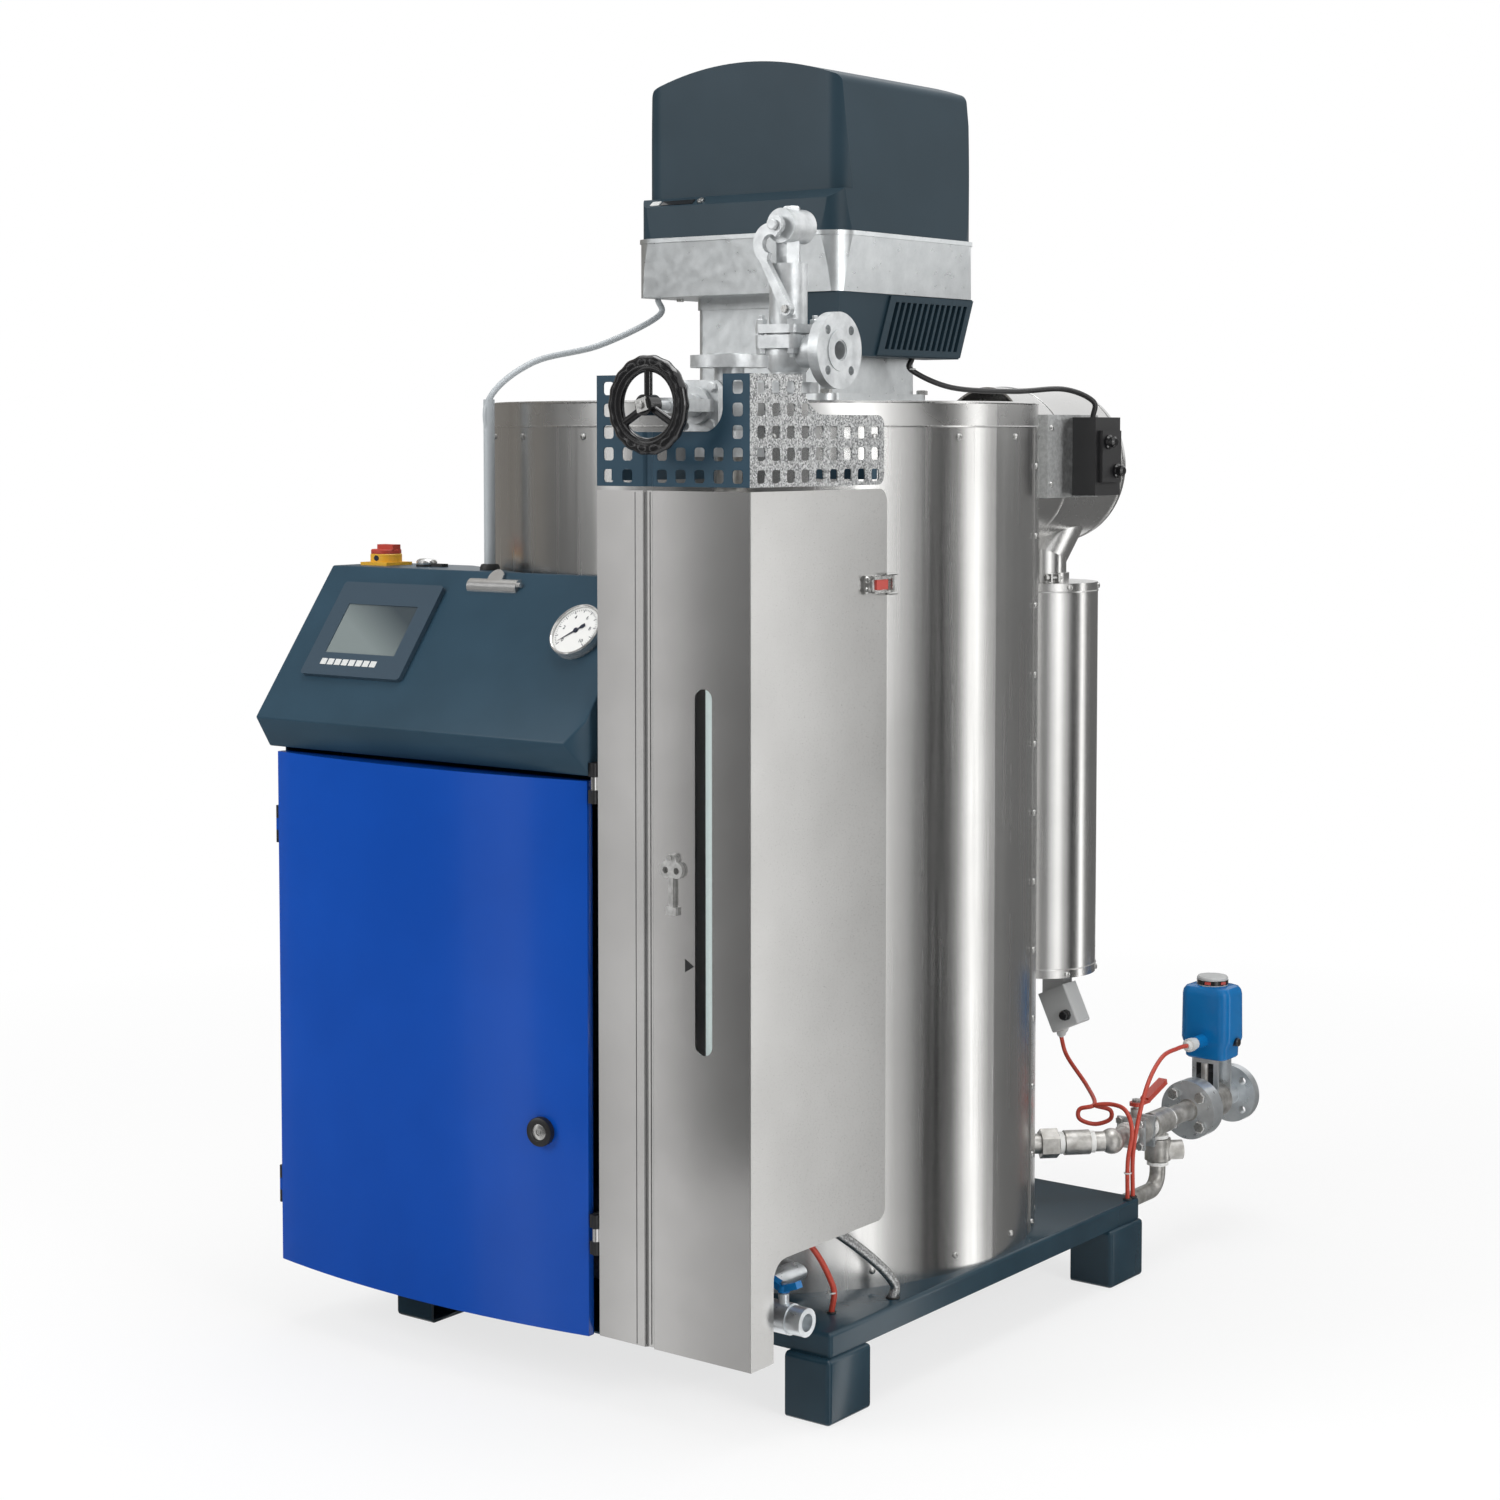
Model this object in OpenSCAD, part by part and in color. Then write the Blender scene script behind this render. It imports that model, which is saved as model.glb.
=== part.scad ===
// Packaged vertical steam boiler. Millimetres, +Z up, front towards -Y.
// Built about the jacket's axis; at_origin() then centres the footprint.

/* [Base] */
// Tray past the jacket at each side
side_margin = 10; // [8:1:60]
// Tray past the jacket at front and rear
base_margin = 10; // [8:1:60]
// Depth of the folded edge of the tray
base_edge_h = 36; // [25:1:60]
// Sheet thickness of the tray
base_sheet = 4; // [3:0.5:8]
// Height of the feet
foot_h = 98; // [60:1:150]
// Width of a foot
foot_w = 80; // [60:1:120]
// Depth of a foot
foot_d = 110; // [80:1:160]
// Sheet thickness of a foot
foot_sheet = 5; // [3:0.5:10]
// Right feet proud of the tray
foot_proud = 8; // [0:1:20]
// Left feet in from the tray's edge
foot_inset = 55; // [0:1:100]

/* [Jacket] */
// Outer radius of the jacket
jacket_r = 450; // [430:1:455]
// Height of the jacket shell
jacket_h = 1323; // [1250:1:1400]
// Wall of the jacket shell
jacket_wall = 5; // [3:0.5:20]
// Height of the lid collar
lid_h = 38; // [25:1:60]
// Wall of the lid
lid_wall = 6; // [3:0.5:12]
// Width of the closure strip
strip_w = 50; // [30:1:80]
// Thickness of the closure strip
strip_t = 2.5; // [1.5:0.5:5]
// Angle of the closure strip
strip_angle = 24; // [15:1:26]

/* [Burner] */
// Burner axis to the right of the jacket axis
burner_x = 46; // [20:1:60]
// Burner axis behind the jacket axis
burner_y = 52; // [20:1:80]
// Side of the burner plate
plate_side = 300; // [270:1:340]
// Thickness of the burner plate
plate_t = 16; // [8:1:30]
// Side of the burner neck
neck_side = 262; // [200:1:280]
// Height of the burner neck
neck_h = 158; // [140:1:220]
// Width of the cast band
band_w = 422; // [380:1:460]
// Depth of the cast band
band_d = 412; // [380:1:460]
// Height of the cast band
band_h = 95; // [60:1:140]
// Corner radius of the cast band
band_corner = 45; // [20:1:80]
// Height of the hood at its crown
hood_h = 276; // [220:1:340]
// Height of the hood's front ledge
ledge_h = 49; // [30:1:80]
// Step of the hood's front above the ledge
ledge_in = 22; // [10:1:30]
// Rise of the hood's arch
hood_arch = 34; // [15:1:60]
// Lean of the hood's sides
hood_lean = 16; // [0:1:40]
// Height of the intake box
intake_h = 100; // [70:1:130]
// Number of intake louvres
intake_slats = 13; // [6:1:16]

/* [Cabinet] */
// Width of the cabinet
cabinet_w = 663; // [600:1:680]
// Right wall of the cabinet, from the jacket axis
cabinet_right = 130; // [110:1:140]
// Depth of the cabinet
cabinet_d = 127; // [100:1:127]
// Cabinet's bottom over the floor
cabinet_z = 102; // [98:1:120]
// Height of the cabinet
cabinet_h = 841; // [800:1:860]
// Wall of the cabinet
cabinet_wall = 3; // [2:0.5:6]
// Width of the deep part at the left rear
rear_box_w = 181; // [150:1:220]
// Air gap between the rear box and the jacket
rear_gap = 13; // [6:1:20]
// Thickness of the mounting plate
mount_plate_t = 3; // [2:0.5:6]
// Gap behind the mounting plate
mount_plate_gap = 12; // [6:1:30]

/* [Cabinet door] */
// Thickness of the door at its edges
door_t = 18; // [12:1:30]
// Bow of the door in its middle
door_bow = 28; // [10:1:40]
// Gap between door and cabinet
door_gap = 5; // [4:0.5:7]
// Gap between door and console
door_top_gap = 8; // [6:1:15]
// Radius of the door lock
lock_r = 22; // [14:1:30]

/* [Console] */
// Console past the cabinet at the left
console_over = 12; // [8:1:20]
// Height of the console
console_h = 286; // [240:1:320]
// Nose over the console's bottom
nose_h = 49; // [30:1:80]
// Nose out past the bottom edge
nose_out = 30; // [10:1:50]
// Console's bottom edge past the cabinet
console_lip = 24; // [12:1:30]
// Top front edge from the cabinet's rear
console_top_d = 6; // [4:1:30]
// Width of the touch panel
panel_w = 218; // [180:1:240]
// Height of the touch panel
panel_h = 177; // [140:1:200]
// Thickness of the touch panel bezel
panel_t = 8; // [4:1:14]
// Radius of the pressure gauge
gauge_r = 45; // [30:1:50]
// Depth of the pressure gauge case
gauge_t = 14; // [8:1:25]
// Side of the main switch plate
switch_side = 60; // [48:1:80]
// Thickness of the main switch plate
switch_t = 18; // [8:1:30]
// Radius of the main switch knob
knob_r = 24; // [16:1:29]

/* [Service cover] */
// Cover's front plane from the tray's front
cover_reach = 150; // [145:1:170]
// Width of the cover's front
cover_w = 281; // [260:1:300]
// Depth of the cover's side leaf
leaf_d = 338; // [280:1:345]
// Height of the cover's lower edge
cover_z = 110; // [100:1:130]
// Groove from the cover's left edge
groove_x = 95; // [84:1:104]
// Width of the groove
groove_w = 18; // [10:1:22]
// Depth of the groove
groove_d = 5; // [3:0.5:8]
// Height of the leaf's cut-out
leaf_cut = 148; // [100:1:152]
// Depth of the leg under the leaf
leg_d = 54; // [30:1:58]
// Sheet thickness of cover and guard
cover_t = 2; // [1.5:0.5:4]
// Width of the sight slot
slot_w = 31; // [20:1:40]
// Length of the sight slot
slot_h = 527; // [400:1:560]
// Gap between cabinet and cover
cover_gap = 17; // [17:0.5:24]

/* [Valve guard] */
// Height of the guard
guard_h = 160; // [140:1:190]
// Guard's lower edge below the lid's top
guard_drop = 125; // [115:1:140]
// Gap between cover and guard
guard_gap = 6; // [5:0.5:10]
// Width of the guard's cut-out for the bonnet
guard_cut_w = 187; // [150:1:200]
// Depth of the guard's cut-out
guard_cut_h = 82; // [78:1:90]
// Side of a guard hole
guard_hole = 19; // [10:1:22]
// Pitch of the guard holes
guard_pitch = 31.5; // [28:0.5:34]
// Step of the guard's side leaf
guard_step = 57; // [30:1:70]

/* [Steam valve] */
// Outside diameter of the steam flanges
flange_d = 115; // [100:1:125]
// Thickness of the steam flanges
flange_t = 18; // [12:1:24]
// Bolt circle of the steam flanges
flange_pcd = 85; // [75:1:90]
// Radius of a bolt hole
bolt_hole_r = 7; // [5:0.5:8]
// Bore radius of the steam line
steam_bore_r = 14; // [10:0.5:18]
// Stop valve between flange faces
valve_len = 148; // [130:1:170]
// Stop valve's middle over the lid
valve_rise = -9; // [-20:1:10]
// Handwheel from the valve axis
wheel_reach = 188; // [170:1:200]
// Radius of the handwheel
wheel_r = 62.5; // [45:0.5:64]
// Radius of the handwheel's rim
rim_r = 8; // [5:0.5:10]
// Radius of the valve stem
stem_r = 7; // [5:0.5:9]
// Running clearance of pins and hubs
run_gap = 0.4; // [0.3:0.05:0.8]

/* [Safety valve] */
// Safety valve's outlet over the lid
outlet_rise = 75; // [70:1:90]
// Reach of the safety valve's outlet
outlet_reach = 95; // [85:1:110]
// Height of the spring bonnet
bonnet_h = 92; // [80:1:110]
// Radius of the spring bonnet
bonnet_r = 29; // [20:1:30]

/* [Flue side] */
// Radius of the flue drum
drum_r = 138; // [120:1:145]
// Flue drum past the jacket's rear
drum_reach = 215; // [200:1:250]
// Radius of the flue outlet
flue_r = 100; // [80:1:115]
// Length of the flue outlet
flue_len = 40; // [25:1:60]
// Wall of the flue drum
drum_wall = 4; // [2:0.5:8]
// Radius of the side vessel
vessel_r = 98; // [80:1:105]
// Height of the side vessel
vessel_h = 694; // [600:1:710]
// Radius of the flue elbow
elbow_r = 42; // [30:1:50]

/* [Blowdown line] */
// Blowdown line over the floor
blow_z = 233; // [220:1:260]
// Radius of the blowdown pipe
blow_r = 17; // [12:0.5:20]
// Outside diameter of the blowdown flanges
pair_d = 105; // [90:1:115]
// Bolt circle of the blowdown flanges
blow_pcd = 75; // [65:1:80]
// Bore radius of the blowdown line
blow_bore_r = 10; // [6:0.5:11]
// Length of the ball valve's lever
lever_len = 100; // [80:1:110]
// Width of the actuator
actuator_w = 110; // [90:1:130]
// Height of the actuator
actuator_h = 132; // [100:1:160]

/* [Drain valve] */
// Drain valve over the floor
drain_z = 165; // [158:1:175]
// Bore radius of the drain valve
drain_bore_r = 13; // [8:0.5:15]
// Half length of the drain valve's handle
drain_grip = 30; // [20:1:34]

/* [Leads] */
// Radius of the burner conduit
conduit_r = 9; // [6:0.5:11]
// Radius of a lead
lead_r = 4.5; // [3:0.5:5]
// Radius of a braided hose
hose_r = 8; // [5:0.5:9]

/* [Hidden] */
$fn = 48;
fine = 720;
slate = "#2f4757";
steel = "#c9cccf";
cast = "#a9adb0";
zinc = "#d4d8da";
eps = 0.01;
lap = 1;
neck_collar = 3;

// Heights
base_top = foot_h + base_edge_h;
jacket_top = base_top + jacket_h;
lid_top = jacket_top + lid_h;
cabinet_top = cabinet_z + cabinet_h;
console_top = cabinet_top + console_h;
neck_top = lid_top + plate_t + neck_h;
band_top = neck_top + band_h;
guard_z = lid_top - guard_drop;
cover_top = guard_z - guard_gap;
cover_h = cover_top - cover_z;
valve_z = lid_top + valve_rise;
outlet_z = lid_top + outlet_rise;

// Planes
base_w = 2 * (jacket_r + side_margin);
base_d = 2 * (jacket_r + base_margin);
base_front = -base_d / 2;
base_rear = base_d / 2;
base_right = base_w / 2;
cabinet_left = cabinet_right - cabinet_w;
cabinet_front = base_front - cabinet_d;
door_back = cabinet_front - door_gap;
door_front = door_back - door_t;
door_right = cabinet_right - door_gap;
door_left = cabinet_left + door_gap;
door_base = cabinet_z + 2;
door_top = cabinet_top - door_top_gap;
console_left = cabinet_left - console_over;
cover_y = base_front - cover_reach;
cover_left = cabinet_right + cover_gap;
cover_right = cover_left + cover_w;
leaf_rear = cover_y + leaf_d;
cover_axis_x = cabinet_right + 9;
cover_axis_y = cover_y + cover_t / 2;
door_axis_x = cabinet_left - 6;
door_axis_y = door_back - 4;
barrel_r = 5.5;
pin_r = 2.5;

// Slant that keeps cabinet and console clear of the jacket
slant = 240;
slant_reach = jacket_r + rear_gap;
rear_box_x = cabinet_left + rear_box_w;
rear_box_y = (slant_reach - rear_box_x * cos(slant)) / sin(slant);
slant_end_x = (slant_reach - base_front * sin(slant)) / cos(slant);

// Console slope
nose_y = cabinet_front - console_lip - nose_out;
nose_z = cabinet_top + nose_h;
crest_y = base_front - console_top_d;
slope = atan2(console_top - nose_z, crest_y - nose_y);
slope_len = norm([crest_y - nose_y, console_top - nose_z]);
panel_x = cabinet_left + 155;
panel_v = slope_len * 0.58;
gauge_x = cabinet_right - 86;
gauge_v = slope_len * 0.64;
switch_x = cabinet_left + 46;
switch_y = (base_front + rear_box_y) / 2 - 4;
button_x = switch_x + 92;

// Steam valve, behind the guard's cut-out
valve_x = cover_left + cover_w / 2 - 3;
valve_y = cover_y + 138;
wheel_y = valve_y - wheel_reach;
hub_h = 26;
steam_pipe_r = steam_bore_r + 4;
steam_drop = 60;
steam_z = valve_z - valve_len / 2 - steam_drop;
steam_angle = atan2(valve_y, valve_x);

// Safety valve on the lid
safety_in = 43.3;
safety_angle = -48.59;
safety_x = (jacket_r - safety_in) * cos(safety_angle);
safety_y = (jacket_r - safety_in) * sin(safety_angle);
bonnet_z = outlet_z + 40;
cap_hex_h = 34;
cap_r = 26;
pivot_z = bonnet_z + bonnet_h + cap_hex_h + cap_r - 4;
pivot_out = 6;
lever_t = 10;

// Level gauge behind the sight slot
slot_x = cover_right - 85;
slot_z = cover_z + 446;
glass_x = slot_x - 20;
glass_y = cover_y + 42;
glass_r = 7;
cock_r = 13;
cock_low = slot_z - 56;
cock_high = slot_z + slot_h + 47;

// Flue side
drum_x = jacket_r * 168 / 450;
drum_z = jacket_top - 68;
drum_end = jacket_r + drum_reach;
vessel_x = drum_x + 45;
vessel_y = jacket_r + 85;
vessel_top = drum_z - drum_r - 66;
vessel_z = vessel_top - vessel_h;

// Blowdown line: out of the jacket at 45 degrees, then towards the rear
blow_run = jacket_r / 3;
blow_x = (jacket_r + blow_run) * cos(45);
blow_y = blow_x;
ball_y = blow_y + 86;
tee_y = ball_y + 78;
pair_y = tee_y + 110;
pair_t = 18;
motor_y = pair_y + pair_t * 2 + 55;
blow_end = pair_y + pair_t * 2 + 124 + pair_t;
actuator_z = blow_z + 82;
branch_z = (foot_h + base_top) / 2;

// Drain valve under the service cover
drain_x = 300;
drain_y = cover_y + 95;
drain_end = base_right - 2;
drain_stem_x = drain_end - 42;

// Middle of the footprint
foot_right = base_right + foot_proud;
right_edge = max(foot_right, blow_x + pair_d / 2, blow_x + actuator_w / 2);
mid_x = (console_left + right_edge) / 2;
mid_y = (wheel_y - hub_h / 2 + blow_end) / 2;

// Controller beside the flue drum
controller_top = jacket_top + 16;
controller_h = 130;
controller_x = jacket_r - 49;
controller_y = 316;

// Routes of the leads
conduit_x = cabinet_left + 303;
conduit_y = base_front + 32;
climb = lid_top - console_top;
conduit_route = [
    [burner_x - 196, burner_y - 152, neck_top], [burner_x - 196, burner_y - 152, neck_top - 29],
    [burner_x - 231, burner_y - 262, lid_top + 95], [conduit_x + 15, conduit_y + 88, lid_top + 65],
    [conduit_x, conduit_y, lid_top + 5], [conduit_x, conduit_y, console_top + climb * 0.72],
    [conduit_x, conduit_y, console_top + climb * 0.34], [conduit_x, conduit_y, console_top]
];
intake_x = burner_x + 164;
intake_y = burner_y + 68;
intake_route = [
    [intake_x, intake_y, neck_top - intake_h], [intake_x, intake_y, lid_top + 55],
    [intake_x + 40, intake_y + 60, lid_top + 27], [controller_x - 81, controller_y - 56, lid_top + 21],
    [controller_x - 21, controller_y + 4, lid_top + 25],
    [controller_x + 19, controller_y + 34, lid_top + 5],
    [controller_x + 19, controller_y + 34, controller_top]
];
edge_x = base_right - 8;
function drop_z(share) = base_top + (vessel_z - 123 - base_top) * share;
terminal_route = [
    [vessel_x + 23, vessel_y + 35, drop_z(1)], [vessel_x + 35, vessel_y + 37, drop_z(0.84)],
    [edge_x - 122, base_rear + 80, drop_z(0.71)], [edge_x - 42, base_rear + 30, drop_z(0.75)],
    [edge_x, base_rear - 5, drop_z(0.58)], [edge_x, base_rear - 28, drop_z(0.28)],
    [edge_x, base_rear - 28, base_top]
];
gland_y = motor_y - 89;
gland_z = actuator_z + 35;
actuator_route = [
    [blow_x, gland_y, gland_z], [blow_x, gland_y - 40, gland_z + 2], [blow_x + 10, tee_y - 8, gland_z],
    [edge_x - 4, base_rear + 40, blow_z + 77], [edge_x, base_rear - 8, blow_z - 13],
    [edge_x, base_rear - 10, base_top]
];
lead_x = base_right - 56;
lead_y = base_front + 82;
lead_route = [
    [lead_x, lead_y, base_top], [lead_x, lead_y, base_top + 46],
    [lead_x - 34, lead_y - 42, base_top + 126], [cabinet_right + 130, base_front - 40, base_top + 196],
    [cabinet_right + 60, base_front - 60, base_top + 206], [cabinet_right, base_front - 60, base_top + 206]
];
hose_x = base_right - 24;
hose_y = base_front + 198;
hose_route = [
    [hose_x, hose_y, base_top], [hose_x, hose_y, base_top + 26],
    [hose_x - 26, hose_y - 48, base_top + 81], [hose_x - 66, hose_y - 158, base_top + 166],
    [glass_x, glass_y + 38, cock_low - 120], [glass_x, glass_y, cock_low - 60],
    [glass_x, glass_y, cock_low - 20]
];

// Puts the middle of the footprint on the origin
module at_origin() {
    translate([-mid_x, -mid_y, 0])
        children();
}

// A box given by its low and high corners
module block(low, high) {
    translate(low)
        cube(high - low);
}

// A round bar along +Y, -Y, +X or a heading in plan
module bar_y(r, from, to) {
    translate([0, from, 0])
        rotate([-90, 0, 0])
            cylinder(r = r, h = to - from);
}

module bar_x(r, from, to) {
    translate([from, 0, 0])
        rotate([0, 90, 0])
            cylinder(r = r, h = to - from);
}

// Space taken by the jacket, with a fine outline for what seats on it
module jacket_cut() {
    cylinder(r = jacket_r, h = lid_top * 2, $fn = fine);
}

// A plate with round corners, in plan
module round_rect(w, d, r) {
    square([w - 2 * r, d], center = true);
    square([w, d - 2 * r], center = true);
    for (sx = [-1, 1])
        for (sy = [-1, 1])
            translate([sx * (w / 2 - r), sy * (d / 2 - r)])
                circle(r);
}

// A pipe flange with four bolt holes, standing on the XY plane
module flange(d, t, pcd, bore_r) {
    difference() {
        cylinder(d = d, h = t);
        translate([0, 0, -1])
            cylinder(r = bore_r, h = t + 2);
        for (a = [45:90:315])
            rotate(a)
                translate([pcd / 2, 0, -1])
                    cylinder(r = bolt_hole_r, h = t + 2);
    }
}

// Points of a smooth curve through the route
function between(a, b, c, d, t) =
    0.5 * (2 * b + (c - a) * t + (2 * a - 5 * b + 4 * c - d) * t * t
        + (3 * b - a - 3 * c + d) * t * t * t);

function smooth(p, n) = [
    for (i = [0:len(p) - 2])
        for (k = [0:n - 1])
            between(p[max(i - 1, 0)], p[i], p[i + 1], p[min(i + 2, len(p) - 1)], k / n),
    p[len(p) - 1]
];

function unit(v) = v / norm(v);

// One ring of a tube, square to the direction t
function ring(c, t, r, sides) =
    let (u = unit(cross(t, [0.31, 0.87, 0.38])))
    let (w = cross(t, u))
    [for (k = [0:sides - 1]) c + r * (cos(360 * k / sides) * u + sin(360 * k / sides) * w)];

// A tube swept along a route
module lead(route, r, sides = 8, steps = 2) {
    path = smooth(route, steps);
    n = len(path);
    m = len(route);
    rings = [
        for (i = [0:n - 1])
            let (t = i == 0 ? route[1] - route[0]
                : i == n - 1 ? route[m - 1] - route[m - 2]
                : path[i + 1] - path[i - 1])
            each ring(path[i], unit(t), r, sides)
    ];
    start_cap = [[for (k = [0:sides - 1]) k]];
    end_cap = [[for (k = [sides - 1:-1:0]) (n - 1) * sides + k]];
    walls = [
        for (i = [0:n - 2])
            for (k = [0:sides - 1])
                let (a = i * sides + k)
                let (b = i * sides + (k + 1) % sides)
                each [[a, a + sides, b + sides], [a, b + sides, b]]
    ];
    polyhedron(rings, concat(start_cap, walls, end_cap));
}

// Base tray with a folded edge
module base_plate() {
    at_origin() color(slate)
        difference() {
            block([-base_w / 2, base_front, foot_h], [base_right, base_rear, base_top]);
            block(
                [-base_w / 2 + base_sheet, base_front + base_sheet, foot_h - 1],
                [base_right - base_sheet, base_rear - base_sheet, base_top - base_sheet]
            );
        }
}

// One folded foot, open towards the inside
module foot() {
    difference() {
        cube([foot_w, foot_d, foot_h]);
        translate([-1, foot_sheet, foot_sheet])
            cube([foot_w - foot_sheet + 1, foot_d - 2 * foot_sheet, foot_h - 2 * foot_sheet]);
    }
}

module feet() {
    front_y = base_front - 14;
    rear_y = base_rear - foot_d;
    right_x = foot_right - foot_w;
    left_x = -base_w / 2 + foot_inset + foot_w;
    at_origin() color(slate)
        for (y = [front_y, rear_y]) {
            translate([right_x, y, 0])
                foot();
            translate([left_x, y, 0])
                mirror([1, 0, 0])
                    foot();
        }
}

module jacket() {
    at_origin() color(steel)
        translate([0, 0, base_top])
            difference() {
                cylinder(r = jacket_r, h = jacket_h);
                translate([0, 0, -1])
                    cylinder(r = jacket_r - jacket_wall, h = jacket_h + 2);
            }
}

module jacket_lid() {
    at_origin() color(steel)
        translate([0, 0, jacket_top])
            difference() {
                cylinder(r = jacket_r, h = lid_h);
                translate([0, 0, -1])
                    cylinder(r = jacket_r - jacket_wall, h = lid_h - lid_wall + 1);
            }
}

// The strip that closes the jacket's seam
module closure_strip() {
    strip_span = strip_w / jacket_r * 180 / PI;
    at_origin() color(steel)
        translate([0, 0, base_top])
            rotate(strip_angle - strip_span / 2)
                rotate_extrude(angle = strip_span)
                    translate([jacket_r, 0])
                        square([strip_t, jacket_h]);
}

// Plate on the lid and the neck that carries the burner
module burner_neck() {
    collar_h = 20;
    at_origin() color(cast)
        translate([burner_x, burner_y, lid_top]) {
            linear_extrude(plate_t)
                round_rect(plate_side, plate_side, 30);
            linear_extrude(plate_t + neck_h)
                round_rect(neck_side, neck_side, 14);
            translate([0, 0, plate_t + neck_h - collar_h])
                linear_extrude(collar_h)
                    round_rect(neck_side + 2 * neck_collar, neck_side + 2 * neck_collar, 14 + neck_collar);
        }
}

// A trapezoid in the upright plane, narrower at its foot
module draft_view(w, h, draft) {
    polygon([[-w / 2 + draft, 0], [w / 2 - draft, 0], [w / 2, h], [-w / 2, h]]);
}

// Cast band with a thin lip at its top
module burner_band() {
    draft = 7;
    lip_h = 7;
    lip_out = 2;
    at_origin() color(cast)
        translate([burner_x, burner_y, neck_top]) {
            intersection() {
                linear_extrude(band_h)
                    round_rect(band_w, band_d, band_corner);
                translate([0, band_d / 2 + 1, 0])
                    rotate([90, 0, 0])
                        linear_extrude(band_d + 2)
                            draft_view(band_w, band_h, draft);
                translate([-band_w / 2 - 1, 0, 0])
                    rotate([90, 0, 90])
                        linear_extrude(band_w + 2)
                            draft_view(band_d, band_h, draft);
            }
            translate([0, 0, band_h - lip_h])
                linear_extrude(lip_h)
                    round_rect(band_w + 2 * lip_out, band_d + 2 * lip_out, band_corner + lip_out);
        }
}

// Front view of the hood: leaning sides, an arched top and round shoulders
module hood_front(w) {
    shoulder_r = 16;
    arch_w = w / 2 - hood_lean;
    arch_r = (arch_w * arch_w + hood_arch * hood_arch) / (2 * hood_arch);
    arch_c = [0, hood_h - arch_r];
    up = unit([-hood_lean, hood_h - hood_arch]);
    inward = [-up.y, up.x];
    foot = [w / 2, 0] + shoulder_r * inward - arch_c;
    along = -foot * up + sqrt(pow(foot * up, 2) - foot * foot + pow(arch_r - shoulder_r, 2));
    middle = arch_c + foot + along * up;
    side = middle - shoulder_r * inward;
    crown = arch_c + (middle - arch_c) * arch_r / (arch_r - shoulder_r);
    flip = [[-1, 0], [0, 1]];
    polygon([
        [-w / 2, 0], [w / 2, 0], side, middle, crown,
        flip * crown, flip * middle, flip * side
    ]);
    for (c = [middle, flip * middle])
        translate(c)
            circle(shoulder_r);
    intersection() {
        translate(arch_c)
            circle(arch_r, $fn = fine);
        translate([-crown.x, crown.y - 1])
            square([2 * crown.x, hood_arch + 1]);
    }
}

// Hood: a rounded column over a ledge, cut by its front and side views
module burner_hood() {
    w = band_w - 8;
    d = band_d - 8;
    corner = band_corner - 4;
    ledge_top = ledge_h + 17;
    at_origin() color(slate)
        translate([burner_x, burner_y, band_top])
            intersection() {
                union() {
                    intersection() {
                        linear_extrude(ledge_top)
                            round_rect(w, d, corner);
                        translate([-w / 2 - 1, 0, 0])
                            rotate([90, 0, 90])
                                linear_extrude(w + 2)
                                    polygon([
                                        [-d / 2 - 1, -1], [d / 2 + 1, -1], [d / 2 + 1, ledge_top],
                                        [-d / 2 + ledge_in, ledge_top], [-d / 2, ledge_h],
                                        [-d / 2 - 1, ledge_h]
                                    ]);
                    }
                    translate([0, ledge_in / 2, 0])
                        linear_extrude(hood_h + 1)
                            round_rect(w, d - ledge_in, corner);
                }
                translate([0, d / 2 + 1, 0])
                    rotate([90, 0, 0])
                        linear_extrude(d + 2)
                            hood_front(w);
                translate([-w / 2 - 1, 0, 0])
                    rotate([90, 0, 90])
                        linear_extrude(w + 2)
                            polygon([
                                [-d / 2, 0], [d / 2, 0],
                                [d / 2 - hood_lean, hood_h], [-d / 2 + hood_lean, hood_h]
                            ]);
            }
}

// A leaning band of the intake
module intake_band(from, to, bottom, top) {
    lean = 0.42;
    polygon([
        [from - lean * (neck_top - bottom), bottom], [to - lean * (neck_top - bottom), bottom],
        [to - lean * (neck_top - top), top], [from - lean * (neck_top - top), top]
    ]);
}

// Air intake with a framed panel of louvres
module burner_intake() {
    x0 = burner_x + neck_side / 2 + neck_collar;
    x1 = burner_x + band_w / 2 - 10;
    y0 = burner_y - band_d / 2 + 12;
    y1 = burner_y + band_d / 2 - 12;
    z0 = neck_top - intake_h;
    panel_from = y1 - 246;
    frame = 14;
    panel_proud = 4;
    pitch = (y1 - panel_from - 2 * frame) / intake_slats;
    at_origin() color(slate)
        difference() {
            union() {
                translate([x0, 0, 0])
                    rotate([90, 0, 90])
                        linear_extrude(x1 - x0)
                            polygon([[y0, neck_top], [y0, z0], [y1 - 0.42 * intake_h, z0], [y1, neck_top]]);
                translate([x1 - lap, 0, 0])
                    rotate([90, 0, 90])
                        linear_extrude(panel_proud + lap)
                            intake_band(panel_from, y1 - 2, z0 + 2, neck_top - 2);
            }
            for (i = [0:intake_slats - 1])
                translate([x1 - 12, 0, 0])
                    rotate([90, 0, 90])
                        linear_extrude(30)
                            intake_band(
                                panel_from + frame + (i + 0.2) * pitch,
                                panel_from + frame + (i + 0.8) * pitch,
                                z0 + 12, neck_top - 12
                            );
        }
}

// Steam pipe from the jacket up to the stop valve
module steam_pipe() {
    at_origin() color(cast)
        difference() {
            translate([0, 0, steam_z]) {
                rotate(steam_angle)
                    bar_x(steam_pipe_r, jacket_r - jacket_wall, norm([valve_x, valve_y]));
                translate([valve_x, valve_y, 0]) {
                    sphere(steam_pipe_r + 5);
                    cylinder(r = steam_pipe_r, h = steam_drop);
                }
            }
            jacket_cut();
        }
}

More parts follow.
